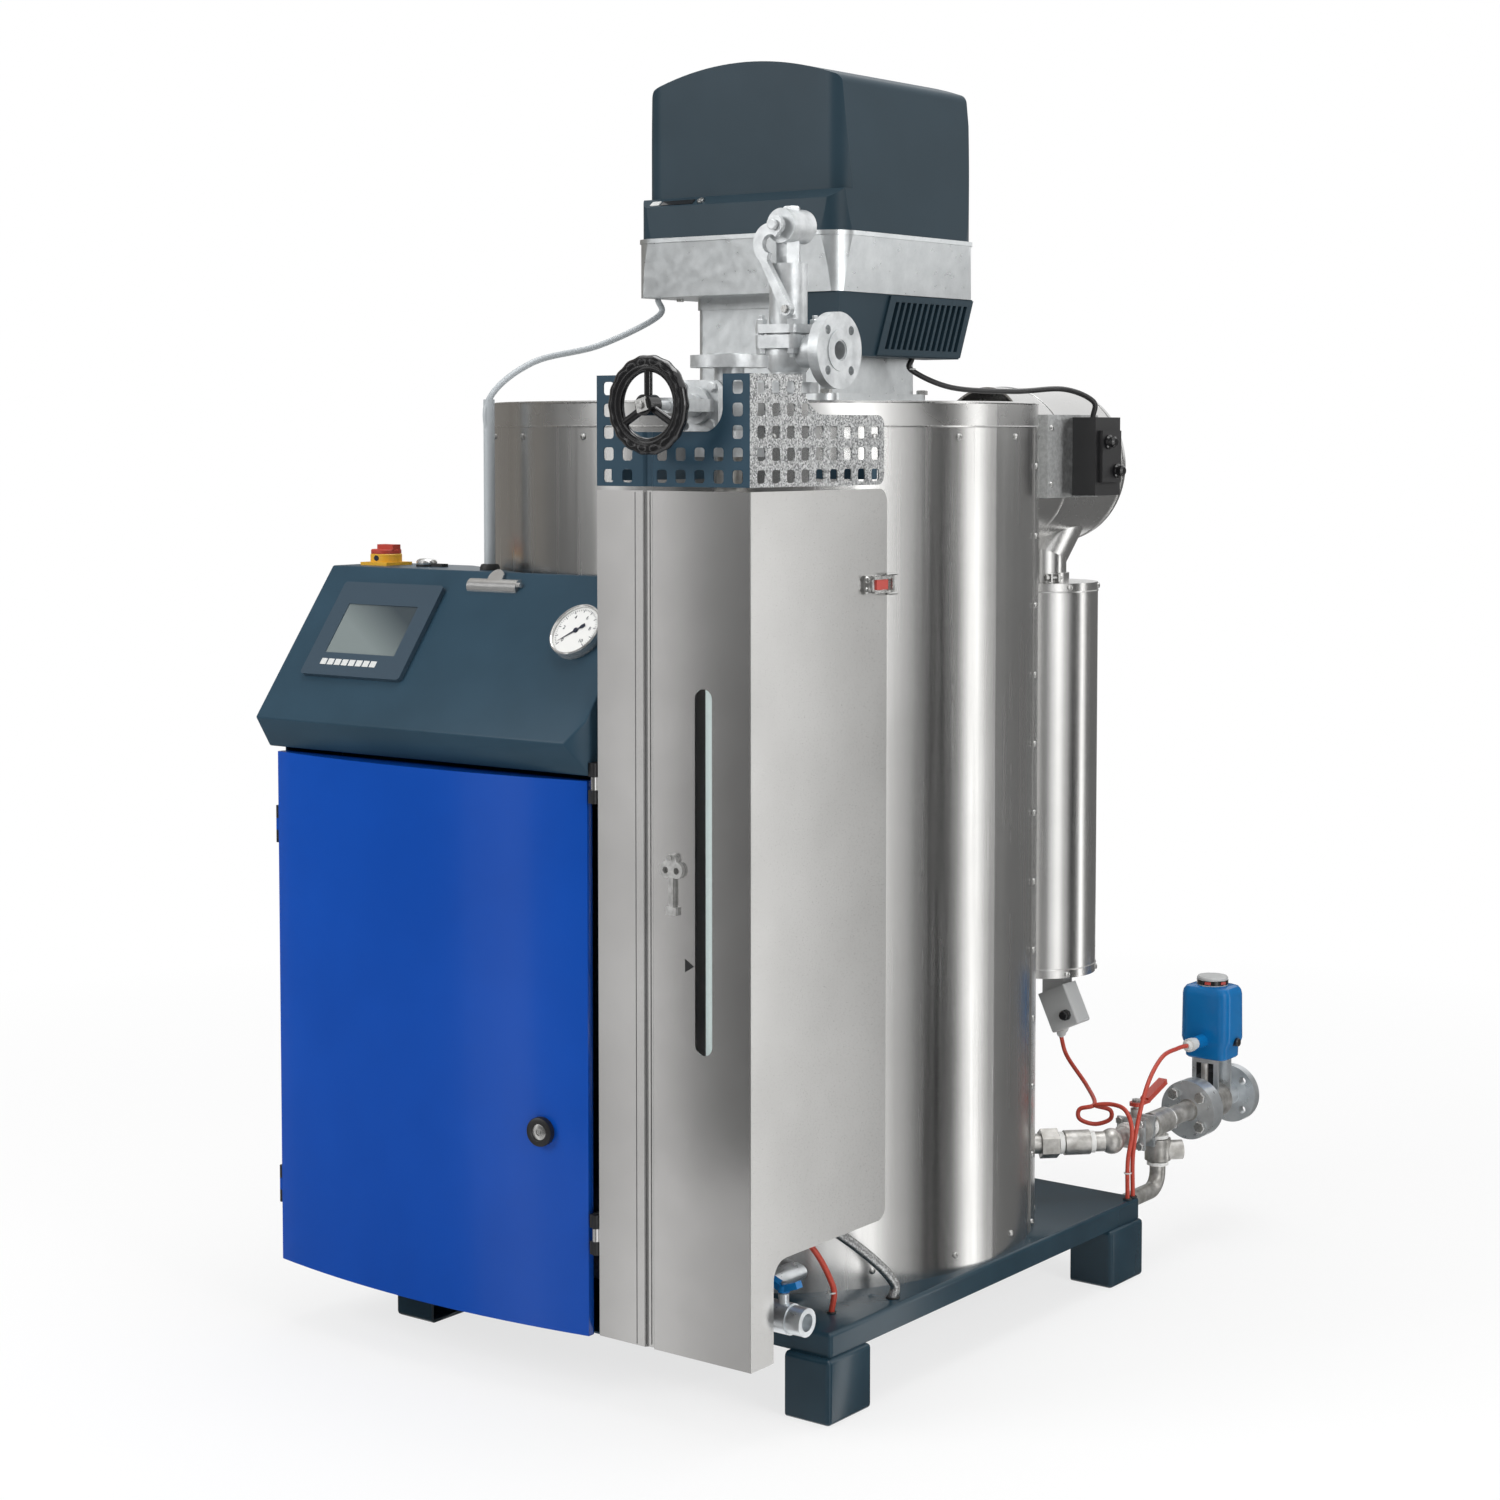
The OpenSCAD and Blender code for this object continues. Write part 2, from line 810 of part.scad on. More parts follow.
// Stop valve, its bonnet and stem towards the front
module steam_valve() {
    body_r = 42;
    bonnet_len = 96;
    bonnet_side = 74;
    at_origin() color(zinc)
        translate([valve_x, valve_y, valve_z])
            difference() {
                union() {
                    for (side = [0, 1])
                        mirror([0, 0, side])
                            translate([0, 0, valve_len / 2 - flange_t])
                                flange(flange_d, flange_t, flange_pcd, steam_bore_r);
                    cylinder(r = steam_bore_r + 8, h = valve_len - 2 * flange_t, center = true);
                    sphere(body_r);
                    bar_y(30, -62, 0);
                    for (y = [-50, -64])
                        translate([0, y, 0])
                            rotate([90, 0, 0])
                                linear_extrude(11)
                                    round_rect(bonnet_side, bonnet_side, 14);
                    bar_y(27, -84, -60);
                    bar_y(17, -bonnet_len, -60);
                    bar_y(stem_r, -wheel_reach - hub_h / 2, -bonnet_len + 1);
                    for (sx = [-1, 1])
                        block([sx * 24 - 5, -138, -9], [sx * 24 + 5, -70, 9]);
                    block([-29, -146, -11], [29, -134, 11]);
                }
                cylinder(r = steam_bore_r, h = valve_len + 2, center = true);
            }
}

// Handwheel: round rim on three spokes, hub on the stem
module handwheel() {
    hub_r = 15;
    ring_r = wheel_r - rim_r;
    at_origin() color("#1b1c1e")
        translate([valve_x, wheel_y, valve_z])
            rotate([90, 0, 0])
                difference() {
                    union() {
                        rotate_extrude()
                            translate([ring_r, 0])
                                circle(rim_r);
                        cylinder(r = hub_r, h = hub_h - 2, center = true);
                        for (a = [90, 210, 330])
                            rotate(a)
                                rotate([0, 90, 0])
                                    cylinder(r = 6, h = ring_r);
                    }
                    cylinder(r = stem_r + run_gap, h = hub_h + 2, center = true);
                }
}

// Safety valve: angle body, flanged outlet, spring bonnet and cap
module safety_valve() {
    joint_side = 78;
    at_origin() color(zinc)
        translate([safety_x, safety_y, 0]) {
            difference() {
                union() {
                    translate([0, 0, lid_top])
                        cylinder(r = 27, h = outlet_rise);
                    translate([0, 0, lid_top + 12])
                        cylinder(r = 46, h = 16);
                    translate([0, 0, outlet_z - 6])
                        sphere(37);
                    translate([0, 0, bonnet_z - 36])
                        linear_extrude(20)
                            round_rect(joint_side, joint_side, 12);
                    translate([0, 0, outlet_z])
                        bar_x(26, 0, outlet_reach - flange_t + 1);
                    translate([outlet_reach - flange_t, 0, outlet_z])
                        rotate([0, 90, 0])
                            flange(flange_d, flange_t, flange_pcd, steam_bore_r);
                }
                translate([0, 0, outlet_z])
                    bar_x(steam_bore_r, 20, outlet_reach + 1);
            }
            translate([0, 0, bonnet_z - 18])
                cylinder(r = bonnet_r, h = bonnet_h + 18);
            translate([0, 0, bonnet_z - 13])
                linear_extrude(13)
                    round_rect(joint_side, joint_side, 12);
            translate([0, 0, bonnet_z + bonnet_h - lap])
                cylinder(r = 20, h = pivot_z - bonnet_z - bonnet_h + lap, $fn = 6);
            translate([pivot_out, 0, pivot_z]) {
                bar_y(cap_r, 1 - bonnet_r, bonnet_r);
                bar_y(4, -bonnet_r - lever_t - 9, 0);
            }
        }
}

// Lifting lever: a hooked plate that hangs from the cap's pin
module lift_lever() {
    hook_c = [-8, -28];
    end = [21, -126];
    at_origin() color(zinc)
        translate([safety_x + pivot_out, safety_y - bonnet_r - 6, pivot_z])
            rotate([90, 0, 0])
                difference() {
                    union() {
                        cylinder(r = 14, h = lever_t);
                        translate([end.x, end.y, 0])
                            cylinder(r = 10, h = lever_t);
                        linear_extrude(lever_t)
                            intersection() {
                                translate(hook_c)
                                    difference() {
                                        circle(31);
                                        circle(14);
                                    }
                                polygon([[6, 14], [6, -14], hook_c, [-14, -52], [-60, -52], [-60, 14]]);
                            }
                        linear_extrude(lever_t)
                            polygon([
                                [-37, -34], [-25, -34],
                                [end.x + 8, end.y + 4], [end.x - 8, end.y - 2]
                            ]);
                    }
                    translate([0, 0, -1])
                        cylinder(r = 4 + run_gap, h = lever_t + 2);
                }
}

// Plan of a sheet along X with the stiffening groove folded into it
module grooved_sheet(w) {
    from = groove_x - groove_w / 2;
    to = groove_x + groove_w / 2;
    foot = groove_w / 4;
    polygon([
        [0, 0], [from, 0], [from + foot, groove_d], [to - foot, groove_d], [to, 0], [w, 0],
        [w, cover_t], [to + 1, cover_t], [to - foot + 1, groove_d + cover_t],
        [from + foot - 1, groove_d + cover_t], [from - 1, cover_t], [0, cover_t]
    ]);
}

// One rounded hole of the guard, in the plane of its sheet
module guard_cut() {
    round_rect(guard_hole, guard_hole, 5);
}

// Columns of guard holes, from a low to a high row
module guard_rows(start, columns, pitch, low, high) {
    first_row = 15;
    for (i = [0:columns - 1])
        for (j = [low:high])
            translate([start + i * pitch, first_row + j * guard_pitch])
                guard_cut();
}

// Guard front: sheet with a U-shaped cut-out for the valve bonnet
module guard_front() {
    w = cover_w - cover_t;
    cut_x = valve_x - cover_left;
    cut_r = 36;
    floor_v = guard_h - guard_cut_h;
    edge = 22;
    at_origin() color(slate)
        difference() {
            translate([cover_left, cover_y, guard_z])
                linear_extrude(guard_h)
                    grooved_sheet(w);
            translate([cover_left, cover_y + 2 * groove_d + 2 * cover_t, guard_z])
                rotate([90, 0, 0])
                    linear_extrude(4 * groove_d + 4 * cover_t) {
                        translate([cut_x - guard_cut_w / 2, floor_v + cut_r])
                            square([guard_cut_w, guard_cut_h]);
                        translate([cut_x, floor_v + cut_r])
                            round_rect(guard_cut_w, 2 * cut_r, cut_r - 1);
                        guard_rows(edge, 2, 35, 0, 1);
                        guard_rows(w - edge - 4 * 34, 5, 34, 0, 1);
                        guard_rows(edge, 1, 34, 2, 4);
                        guard_rows(w - edge, 1, 34, 2, 4);
                    }
        }
}

// Guard side leaf: steps down behind the valve
module guard_side() {
    shoulder = leaf_d * 0.36;
    low_h = guard_h - guard_step;
    w = leaf_d - 8;
    edge = 24;
    corner_r = 16;
    at_origin() color(slate)
        translate([cover_right - cover_t, cover_y, guard_z])
            rotate([90, 0, 90])
                linear_extrude(cover_t)
                    difference() {
                        union() {
                            square([w - corner_r, low_h]);
                            translate([0, corner_r])
                                square([w, low_h - 2 * corner_r]);
                            for (v = [corner_r, low_h - corner_r])
                                translate([w - corner_r, v])
                                    circle(corner_r);
                            square([shoulder, guard_h]);
                            translate([shoulder - 1, low_h - 1])
                                square([guard_step + 1, guard_step + 1]);
                        }
                        translate([shoulder + guard_step, guard_h])
                            circle(guard_step);
                        guard_rows(edge, 9, (w - 2 * edge) / 8, 0, 2);
                        guard_rows(edge, 4, (w - 2 * edge) / 8, 3, 4);
                    }
}

// Arms from the jacket that carry the guard
module guard_brackets() {
    side_y = leaf_rear - 40;
    front_x = cover_left + 26;
    bar = 16;
    at_origin() color(slate)
        difference() {
            union() {
                block(
                    [0, side_y, guard_z + 8],
                    [cover_right - cover_t, side_y + bar, guard_z + 8 + bar]
                );
                block(
                    [front_x, cover_y + cover_t, guard_z + 8],
                    [front_x + bar, 0, guard_z + 8 + bar]
                );
            }
            jacket_cut();
        }
}

// A fixed hinge leaf with two barrels and the pin, along Z
module hinge_fixed(h) {
    third = h / 3;
    for (z = [0, 2 * third])
        translate([0, 0, z])
            cylinder(r = barrel_r, h = third);
    cylinder(r = pin_r, h = h);
}

// The moving barrel of a hinge, with its bore
module hinge_moving(h) {
    third = h / 3;
    translate([0, 0, third + run_gap])
        cylinder(r = barrel_r, h = third - 2 * run_gap);
}

module hinge_bore(h) {
    translate([0, 0, -1])
        cylinder(r = pin_r + run_gap, h = h + 2);
}

hinge_h = 60;
cover_hinge_z = [cover_z + 120, cabinet_top - 40];
door_hinge_z = [door_base + 90, door_top - 150];

// Fixed hinge leaves on both walls of the cabinet
module cabinet_hinges() {
    third = hinge_h / 3;
    at_origin() color("#202428") {
        for (z = cover_hinge_z)
            translate([cover_axis_x, cover_axis_y, z]) {
                hinge_fixed(hinge_h);
                for (k = [0, 2 * third])
                    translate([0, 0, k])
                        difference() {
                            union() {
                                block([-9, 0, 0], [-5, cabinet_front - cover_axis_y + 30, third]);
                                block([-9, -3, 0], [0, 3, third]);
                            }
                            translate([0, 0, -1])
                                cylinder(r = pin_r, h = third + 2);
                        }
            }
        for (z = door_hinge_z)
            translate([door_axis_x, door_axis_y, z]) {
                hinge_fixed(hinge_h);
                for (k = [0, 2 * third])
                    translate([0, 0, k])
                        difference() {
                            union() {
                                block([2, 0, 0], [6, cabinet_front - door_axis_y + 24, third]);
                                block([0, 0, 0], [6, 5, third]);
                            }
                            translate([0, 0, -1])
                                cylinder(r = pin_r, h = third + 2);
                        }
            }
    }
}

// Service cover front with the sight slot and hinge barrels
module cover_front() {
    third = hinge_h / 3;
    w = cover_w - cover_t;
    at_origin() color(steel) {
        difference() {
            translate([cover_left, cover_y, cover_z])
                linear_extrude(cover_h)
                    grooved_sheet(w);
            translate([slot_x, cover_y + 2 * cover_t, slot_z + slot_h / 2])
                rotate([90, 0, 0])
                    linear_extrude(4 * cover_t)
                        round_rect(slot_w, slot_h, slot_w / 2 - 1);
        }
        for (z = cover_hinge_z)
            translate([cover_axis_x, cover_axis_y, z])
                difference() {
                    union() {
                        hinge_moving(hinge_h);
                        block(
                            [0, -cover_t / 2, third + run_gap],
                            [cover_left - cover_axis_x + 1, cover_t / 2, 2 * third - run_gap]
                        );
                    }
                    hinge_bore(hinge_h);
                }
    }
}

// Service cover side leaf with a leg at the front
module cover_side() {
    inner_r = 30;
    corner_r = 20;
    at_origin() color(steel)
        translate([cover_right - cover_t, cover_y, cover_z])
            rotate([90, 0, 90])
                linear_extrude(cover_t) {
                    square([leg_d, leaf_cut + corner_r]);
                    translate([0, leaf_cut + corner_r])
                        square([leaf_d, cover_h - leaf_cut - 2 * corner_r]);
                    translate([0, leaf_cut])
                        square([leaf_d - corner_r, cover_h - leaf_cut]);
                    for (v = [leaf_cut + corner_r, cover_h - corner_r])
                        translate([leaf_d - corner_r, v])
                            circle(corner_r);
                    difference() {
                        translate([leg_d - 1, leaf_cut - inner_r])
                            square([inner_r + 1, inner_r + 1]);
                        translate([leg_d + inner_r, leaf_cut - inner_r])
                            circle(inner_r);
                    }
                }
}

latch_z = cover_top - 142;

// Draw latch on the rear edge of the leaf
module cover_latch() {
    at_origin() color("#b9bdc0")
        translate([cover_right, leaf_rear - 62, latch_z - 14]) {
            cube([4, 60, 28]);
            translate([4 - eps, 6, 4])
                cube([8, 46, 20]);
        }
}

// Catch on the jacket for the draw latch
module cover_catch() {
    at_origin() color("#b9bdc0")
        difference() {
            block(
                [0, leaf_rear + 8, latch_z - 12],
                [cover_right + 6, leaf_rear + 12, latch_z + 12]
            );
            jacket_cut();
        }
}

// Key on the front of the cover
module cover_key() {
    key_x = cover_right - 140;
    key_z = cover_z + 740;
    at_origin() color("#b9bdc0")
        translate([key_x, cover_y, key_z])
            rotate([90, 0, 0])
                linear_extrude(6)
                    difference() {
                        union() {
                            for (sx = [-1, 1])
                                translate([sx * 9, -30])
                                    circle(12);
                            translate([0, -18])
                                circle(10);
                            translate([-4, -96])
                                square([8, 72]);
                            translate([-9, -96])
                                square([18, 12]);
                        }
                        for (sx = [-1, 1])
                            translate([sx * 10, -31])
                                circle(5);
                    }
}

// Level gauge cocks with glands for the glass
module gauge_cocks() {
    at_origin() color(cast)
        difference() {
            for (z = [cock_low, cock_high])
                translate([glass_x, 0, z]) {
                    bar_y(cock_r, glass_y, 0);
                    translate([0, glass_y, -20])
                        cylinder(r = cock_r + 4, h = 40);
                    translate([0, glass_y + 50, 0])
                        bar_y(cock_r + 6, 0, 24);
                }
            jacket_cut();
        }
}

module gauge_glass() {
    at_origin() color("#9fb7b0")
        translate([glass_x, glass_y, cock_low + 20])
            cylinder(r = glass_r, h = cock_high - cock_low - 40);
}

// Cabinet: box open to the front
module cabinet() {
    at_origin() color(slate)
        difference() {
            block([cabinet_left, cabinet_front, cabinet_z], [cabinet_right, base_front, cabinet_top]);
            block(
                [cabinet_left + cabinet_wall, cabinet_front - 1, cabinet_z + cabinet_wall],
                [cabinet_right - cabinet_wall, base_front - cabinet_wall, cabinet_top - cabinet_wall]
            );
        }
}

// Outline of the deep part behind cabinet and console
module rear_plan(left) {
    polygon([
        [left, base_front], [slant_end_x, base_front],
        [rear_box_x, rear_box_y], [left, rear_box_y]
    ]);
}

module cabinet_rear_box() {
    at_origin() color(slate)
        translate([0, 0, base_top])
            linear_extrude(cabinet_top - base_top)
                rear_plan(cabinet_left);
}

// Plate that carries the switchgear
module mounting_plate() {
    margin = 40;
    stud = 8;
    plate_y = base_front - cabinet_wall - mount_plate_gap;
    at_origin() color("#c7cbc9") {
        block(
            [cabinet_left + margin, plate_y - mount_plate_t, cabinet_z + margin],
            [cabinet_right - margin, plate_y, cabinet_top - margin]
        );
        for (x = [cabinet_left + margin + 20, cabinet_right - margin - 20])
            for (z = [cabinet_z + margin + 20, cabinet_top - margin - 20])
                translate([x, 0, z])
                    bar_y(stud, plate_y - eps, base_front - cabinet_wall);
    }
}

// Door: bowed sheet with a shallow edge, hung on the left
module cabinet_door() {
    third = hinge_h / 3;
    w = door_right - door_left;
    edge_r = 10;
    bow_w = w / 2 - 6;
    bow_r = (bow_w * bow_w + door_bow * door_bow) / (2 * door_bow);
    mid = (door_left + door_right) / 2;
    at_origin() color("#0f4ba8") {
        translate([mid, 0, door_base])
            linear_extrude(door_top - door_base) {
                translate([0, (door_back + door_front) / 2])
                    round_rect(w, door_t, door_t / 2 - 1);
                intersection() {
                    translate([0, door_front - door_bow + bow_r])
                        circle(bow_r, $fn = fine);
                    translate([-w / 2, door_front - door_bow])
                        square([w, door_bow + edge_r]);
                }
            }
        for (z = door_hinge_z)
            translate([door_axis_x, door_axis_y, z])
                difference() {
                    union() {
                        hinge_moving(hinge_h);
                        block(
                            [0, -5, third + run_gap],
                            [door_left - door_axis_x + 9, 1, 2 * third - run_gap]
                        );
                    }
                    hinge_bore(hinge_h);
                }
    }
}

// Quarter-turn lock on the door's right side, square to the bowed skin
module door_lock() {
    lock_x = door_right - 80;
    lock_z = door_base + 300;
    lock_t = 8;
    bow_w = (door_right - door_left) / 2 - 6;
    bow_r = (bow_w * bow_w + door_bow * door_bow) / (2 * door_bow);
    turn = asin((lock_x - (door_left + door_right) / 2) / bow_r);
    at_origin() color("#2a2d30")
        translate([(door_left + door_right) / 2, door_front - door_bow + bow_r, lock_z])
            rotate(turn)
                bar_y(lock_r, -bow_r - lock_t, -bow_r);
}

// Console: sloped desk, its right front corner cut off
module console() {
    corner = 24;
    at_origin() color(slate)
        intersection() {
            translate([console_left, 0, 0])
                rotate([90, 0, 90])
                    linear_extrude(cabinet_right - console_left)
                        polygon([
                            [nose_y + nose_out, cabinet_top], [nose_y, nose_z],
                            [crest_y, console_top], [rear_box_y, console_top],
                            [rear_box_y, cabinet_top]
                        ]);
            translate([0, 0, cabinet_top])
                linear_extrude(console_h) {
                    polygon([
                        [console_left, nose_y], [cabinet_right - corner, nose_y],
                        [cabinet_right, nose_y + corner], [cabinet_right, base_front],
                        [console_left, base_front]
                    ]);
                    rear_plan(console_left);
                }
        }
}

// Places a piece on the slope: x along it, v up from the nose
module on_slope(x, v) {
    translate([x, nose_y, nose_z])
        rotate([slope, 0, 0])
            translate([0, v, 0])
                children();
}

module touch_panel() {
    screen_w = panel_w * 0.7;
    screen_h = panel_h * 0.525;
    at_origin() color("#32363a")
        on_slope(panel_x, panel_v)
            difference() {
                linear_extrude(panel_t)
                    round_rect(panel_w, panel_h, 6);
                translate([-screen_w / 2, -screen_h / 2, panel_t - 2])
                    cube([screen_w, screen_h, 3]);
            }
}

module pressure_gauge() {
    at_origin() color("#d0d3d5")
        on_slope(gauge_x, gauge_v)
            difference() {
                cylinder(r = gauge_r, h = gauge_t);
                translate([0, 0, gauge_t - 3])
                    cylinder(r = gauge_r - 4, h = 4);
            }
}

module switch_base() {
    at_origin() color("#e5b23a")
        translate([switch_x, switch_y, console_top]) {
            linear_extrude(switch_t - 6)
                round_rect(switch_side, switch_side, 6);
            cylinder(r = knob_r + 4, h = switch_t);
        }
}

// Rotary knob of the main switch, with a grip across it
module switch_knob() {
    gap = 0.3;
    grip_h = 16;
    at_origin() color("#b5402e")
        translate([switch_x, switch_y, console_top + switch_t + gap]) {
            cylinder(r = knob_r, h = 12);
            translate([0, 0, 12 - eps])
                linear_extrude(grip_h)
                    round_rect(knob_r * 1.8, 14, 6);
        }
}

module push_button() {
    at_origin() color("#c9cccf")
        translate([button_x, switch_y, console_top]) {
            cylinder(r = 15, h = 8);
            cylinder(r = 10, h = 13);
        }
}

// Spring clip for papers: a rolled bar with a thumb tab and an end knob
module document_clip() {
    bar_w = 102;
    roll_r = 13;
    at_origin() color(steel)
        on_slope(-172, slope_len - 26) {
            translate([-bar_w / 2, 0, 0])
                rotate([90, 0, 90])
                    linear_extrude(bar_w)
                        difference() {
                            translate([0, -4])
                                circle(roll_r);
                            translate([-20, -20])
                                square([40, 20]);
                        }
            translate([0, 12, 3])
                cylinder(r = 15, h = 3);
            translate([bar_w / 2 - lap, 0, 4.5])
                rotate([0, 90, 0])
                    cylinder(r = 4, h = 9);
        }
}

// Flue drum: shell, end plate and flue outlet
module flue_drum() {
    at_origin() color(steel)
        difference() {
            translate([drum_x, 0, drum_z])
                rotate([-90, 0, 0])
                    rotate_extrude()
                        polygon([
                            [drum_r - drum_wall, 0], [drum_r, 0], [drum_r, drum_end],
                            [flue_r, drum_end], [flue_r, drum_end + flue_len],
                            [flue_r - drum_wall, drum_end + flue_len],
                            [flue_r - drum_wall, drum_end - drum_wall],
                            [drum_r - drum_wall, drum_end - drum_wall]
                        ]);
            jacket_cut();
        }
}

// Mitred elbow from vessel to drum, with a clamp band
module flue_elbow() {
    rise = 44;
    big = 400;
    at_origin() color(steel)
        difference() {
            translate([vessel_x, vessel_y, vessel_top]) {
                cylinder(r = elbow_r + 5, h = 16);
                intersection() {
                    cylinder(r = elbow_r, h = rise + elbow_r);
                    translate([0, 0, rise])
                        rotate([-22.5, 0, 0])
                            translate([-big / 2, -big / 2, -big])
                                cube(big);
                }
                translate([0, 0, rise])
                    intersection() {
                        rotate([-45, 0, 0])
                            translate([0, 0, -elbow_r])
                                cylinder(r = elbow_r, h = 200);
                        rotate([-22.5, 0, 0])
                            translate([-big / 2, -big / 2, -lap])
                                cube(big);
                    }
            }
            translate([drum_x, 0, drum_z])
                bar_y(drum_r, 0, drum_end * 2);
        }
}

// Side vessel with two lugs to the jacket
module side_vessel() {
    lug_h = 60;
    lug_t = 20;
    heading = atan2(vessel_y, vessel_x);
    at_origin() color(steel) {
        translate([vessel_x, vessel_y, vessel_z])
            cylinder(r = vessel_r, h = vessel_h);
        difference() {
            for (z = [vessel_z + 80, vessel_top - 80 - lug_h])
                rotate(heading)
                    translate([0, -lug_t / 2, z])
                        cube([norm([vessel_x, vessel_y]), lug_t, lug_h]);
            jacket_cut();
        }
    }
}

// Terminal box under the side vessel, on a bent bracket
module terminal_box() {
    tilt = 25;
    at_origin() color("#a5a9aa")
        translate([vessel_x + 20, vessel_y + 25, vessel_z]) {
            block([-22, -16, -48], [22, 16, 0]);
            translate([0, 0, -36])
                rotate([0, -tilt, 0])
                    block([-30, -22, -74], [30, 22, 0]);
        }
}

// Folded bracket on the jacket for the controller
module controller_bracket() {
    z0 = jacket_top - 117;
    z1 = jacket_top + 20;
    y0 = controller_y - 80;
    y1 = controller_y + 84;
    sheet = 3;
    foot_x = sqrt(jacket_r * jacket_r - y0 * y0) - 10;
    at_origin() color("#a5a9aa")
        difference() {
            union() {
                block([controller_x - sheet, y0, z0], [controller_x, y1, z1]);
                block([foot_x, y0, z0], [controller_x, y0 + sheet + 1, z1]);
            }
            jacket_cut();
        }
}

module controller_box() {
    z0 = controller_top - controller_h;
    at_origin() color("#1d1f21")
        translate([controller_x, controller_y, z0]) {
            cube([44, 82, controller_h]);
            translate([44 - eps, 10, 22])
                cube([8, 62, controller_h - 44]);
        }
}

// Blowdown pipe with a union nut, then an elbow to the rear
module blowdown_pipe() {
    at_origin() color(cast)
        difference() {
            translate([0, 0, blow_z]) {
                rotate(45) {
                    bar_x(blow_r, jacket_r - jacket_wall, jacket_r + blow_run);
                    translate([jacket_r + 24, 0, 0])
                        rotate([0, 90, 0])
                            cylinder(r = blow_r + 9, h = 30, $fn = 6);
                    bar_x(blow_r + 4, jacket_r + 66, jacket_r + 110);
                }
                translate([blow_x, blow_y, 0])
                    sphere(blow_r + 5);
                translate([blow_x, 0, 0])
                    bar_y(blow_r, blow_y, ball_y - 34);
            }
            jacket_cut();
        }
}

// Ball valve in the line, its stem upright
module ball_valve() {
    at_origin() color(cast)
        translate([blow_x, ball_y, blow_z]) {
            bar_y(blow_r + 3, -34, 34);
            bar_y(blow_r + 9, -20, 20);
            cylinder(r = 10, h = 40);
            cylinder(r = 5, h = 56);
        }
}

// Lever of the ball valve, along the line when open
module valve_lever() {
    at_origin() color("#c0452f")
        translate([blow_x, ball_y, blow_z + 45]) {
            difference() {
                union() {
                    cylinder(r = 12, h = 6);
                    block([-9, 0, 0], [9, lever_len * 0.35, 6]);
                    translate([0, lever_len * 0.3, 3])
                        rotate([18, 0, 0])
                            block([-8, 0, -4], [8, lever_len * 0.7, 6]);
                }
                translate([0, 0, -1])
                    cylinder(r = 5 + run_gap, h = 20);
            }
        }
}

// Tee in the line, and the branch that drops to the base
module branch_line() {
    bend = 30;
    at_origin() color(cast)
        translate([blow_x, 0, 0]) {
            translate([0, 0, blow_z])
                difference() {
                    bar_y(blow_r, ball_y + 34, pair_y + lap);
                    bar_y(blow_bore_r, tee_y + 30, pair_y + 2 * lap);
                }
            translate([0, 0, blow_z])
                bar_y(blow_r + 5, tee_y - 28, tee_y + 28);
            translate([0, tee_y, branch_z + bend - lap])
                cylinder(r = blow_r - 3, h = blow_z - branch_z - bend + lap);
            translate([0, tee_y, blow_z - 66])
                cylinder(r = blow_r + 6, h = 38);
            translate([0, 0, blow_z - 50])
                translate([0, tee_y, 0])
                    rotate(45)
                        bar_x(blow_r, 0, 44);
            translate([0, tee_y - bend, branch_z + bend])
                rotate([0, 90, 0])
                    rotate_extrude(angle = 90)
                        translate([bend, 0])
                            circle(blow_r - 3);
            translate([0, 0, branch_z])
                bar_y(blow_r - 3, base_rear, tee_y - bend + lap);
            translate([0, pair_y, blow_z])
                rotate([-90, 0, 0])
                    flange(pair_d, pair_t, blow_pcd, blow_bore_r);
        }
}

// Motor valve: two flanges, ball body, yoke for the actuator
module motor_valve() {
    y0 = pair_y + pair_t;
    at_origin() color(cast)
        translate([blow_x, 0, blow_z])
            difference() {
                union() {
                    translate([0, y0, 0])
                        rotate([-90, 0, 0])
                            flange(pair_d, pair_t, blow_pcd, blow_bore_r);
                    translate([0, blow_end - pair_t, 0])
                        rotate([-90, 0, 0])
                            flange(pair_d, pair_t, blow_pcd, blow_bore_r);
                    bar_y(blow_r + 3, y0 + pair_t - 1, blow_end - pair_t + 1);
                    bar_y(blow_r + 14, motor_y - 24, motor_y + 24);
                    translate([0, motor_y, 0])
                        cylinder(r = 9, h = actuator_z - blow_z);
                    for (side = [-1, 1])
                        translate([0, motor_y + side * 24, 0])
                            block([-26, -2.5, 18], [26, 2.5, actuator_z - blow_z]);
                    translate([0, motor_y, actuator_z - blow_z - 5])
                        block([-26, -26, 0], [26, 26, 5]);
                }
                bar_y(blow_bore_r, y0 - 1, blow_end + 1);
            }
}

// Actuator: rounded case, dome and cable gland
module valve_actuator() {
    depth = actuator_w * 0.8;
    seam_z = actuator_h * 0.42;
    at_origin() color("#1068a8")
        translate([blow_x, motor_y, actuator_z]) {
            linear_extrude(seam_z)
                round_rect(actuator_w - 10, depth - 10, 18);
            translate([0, 0, seam_z - 6])
                linear_extrude(12)
                    round_rect(actuator_w, depth, 20);
            translate([0, 0, seam_z])
                linear_extrude(actuator_h - seam_z)
                    round_rect(actuator_w - 12, depth - 12, 22);
            translate([0, 0, actuator_h - eps])
                cylinder(r = 27, h = 16);
            translate([0, 0, gland_z - actuator_z])
                bar_y(10, gland_y - motor_y, -depth / 2 + 6);
        }
}

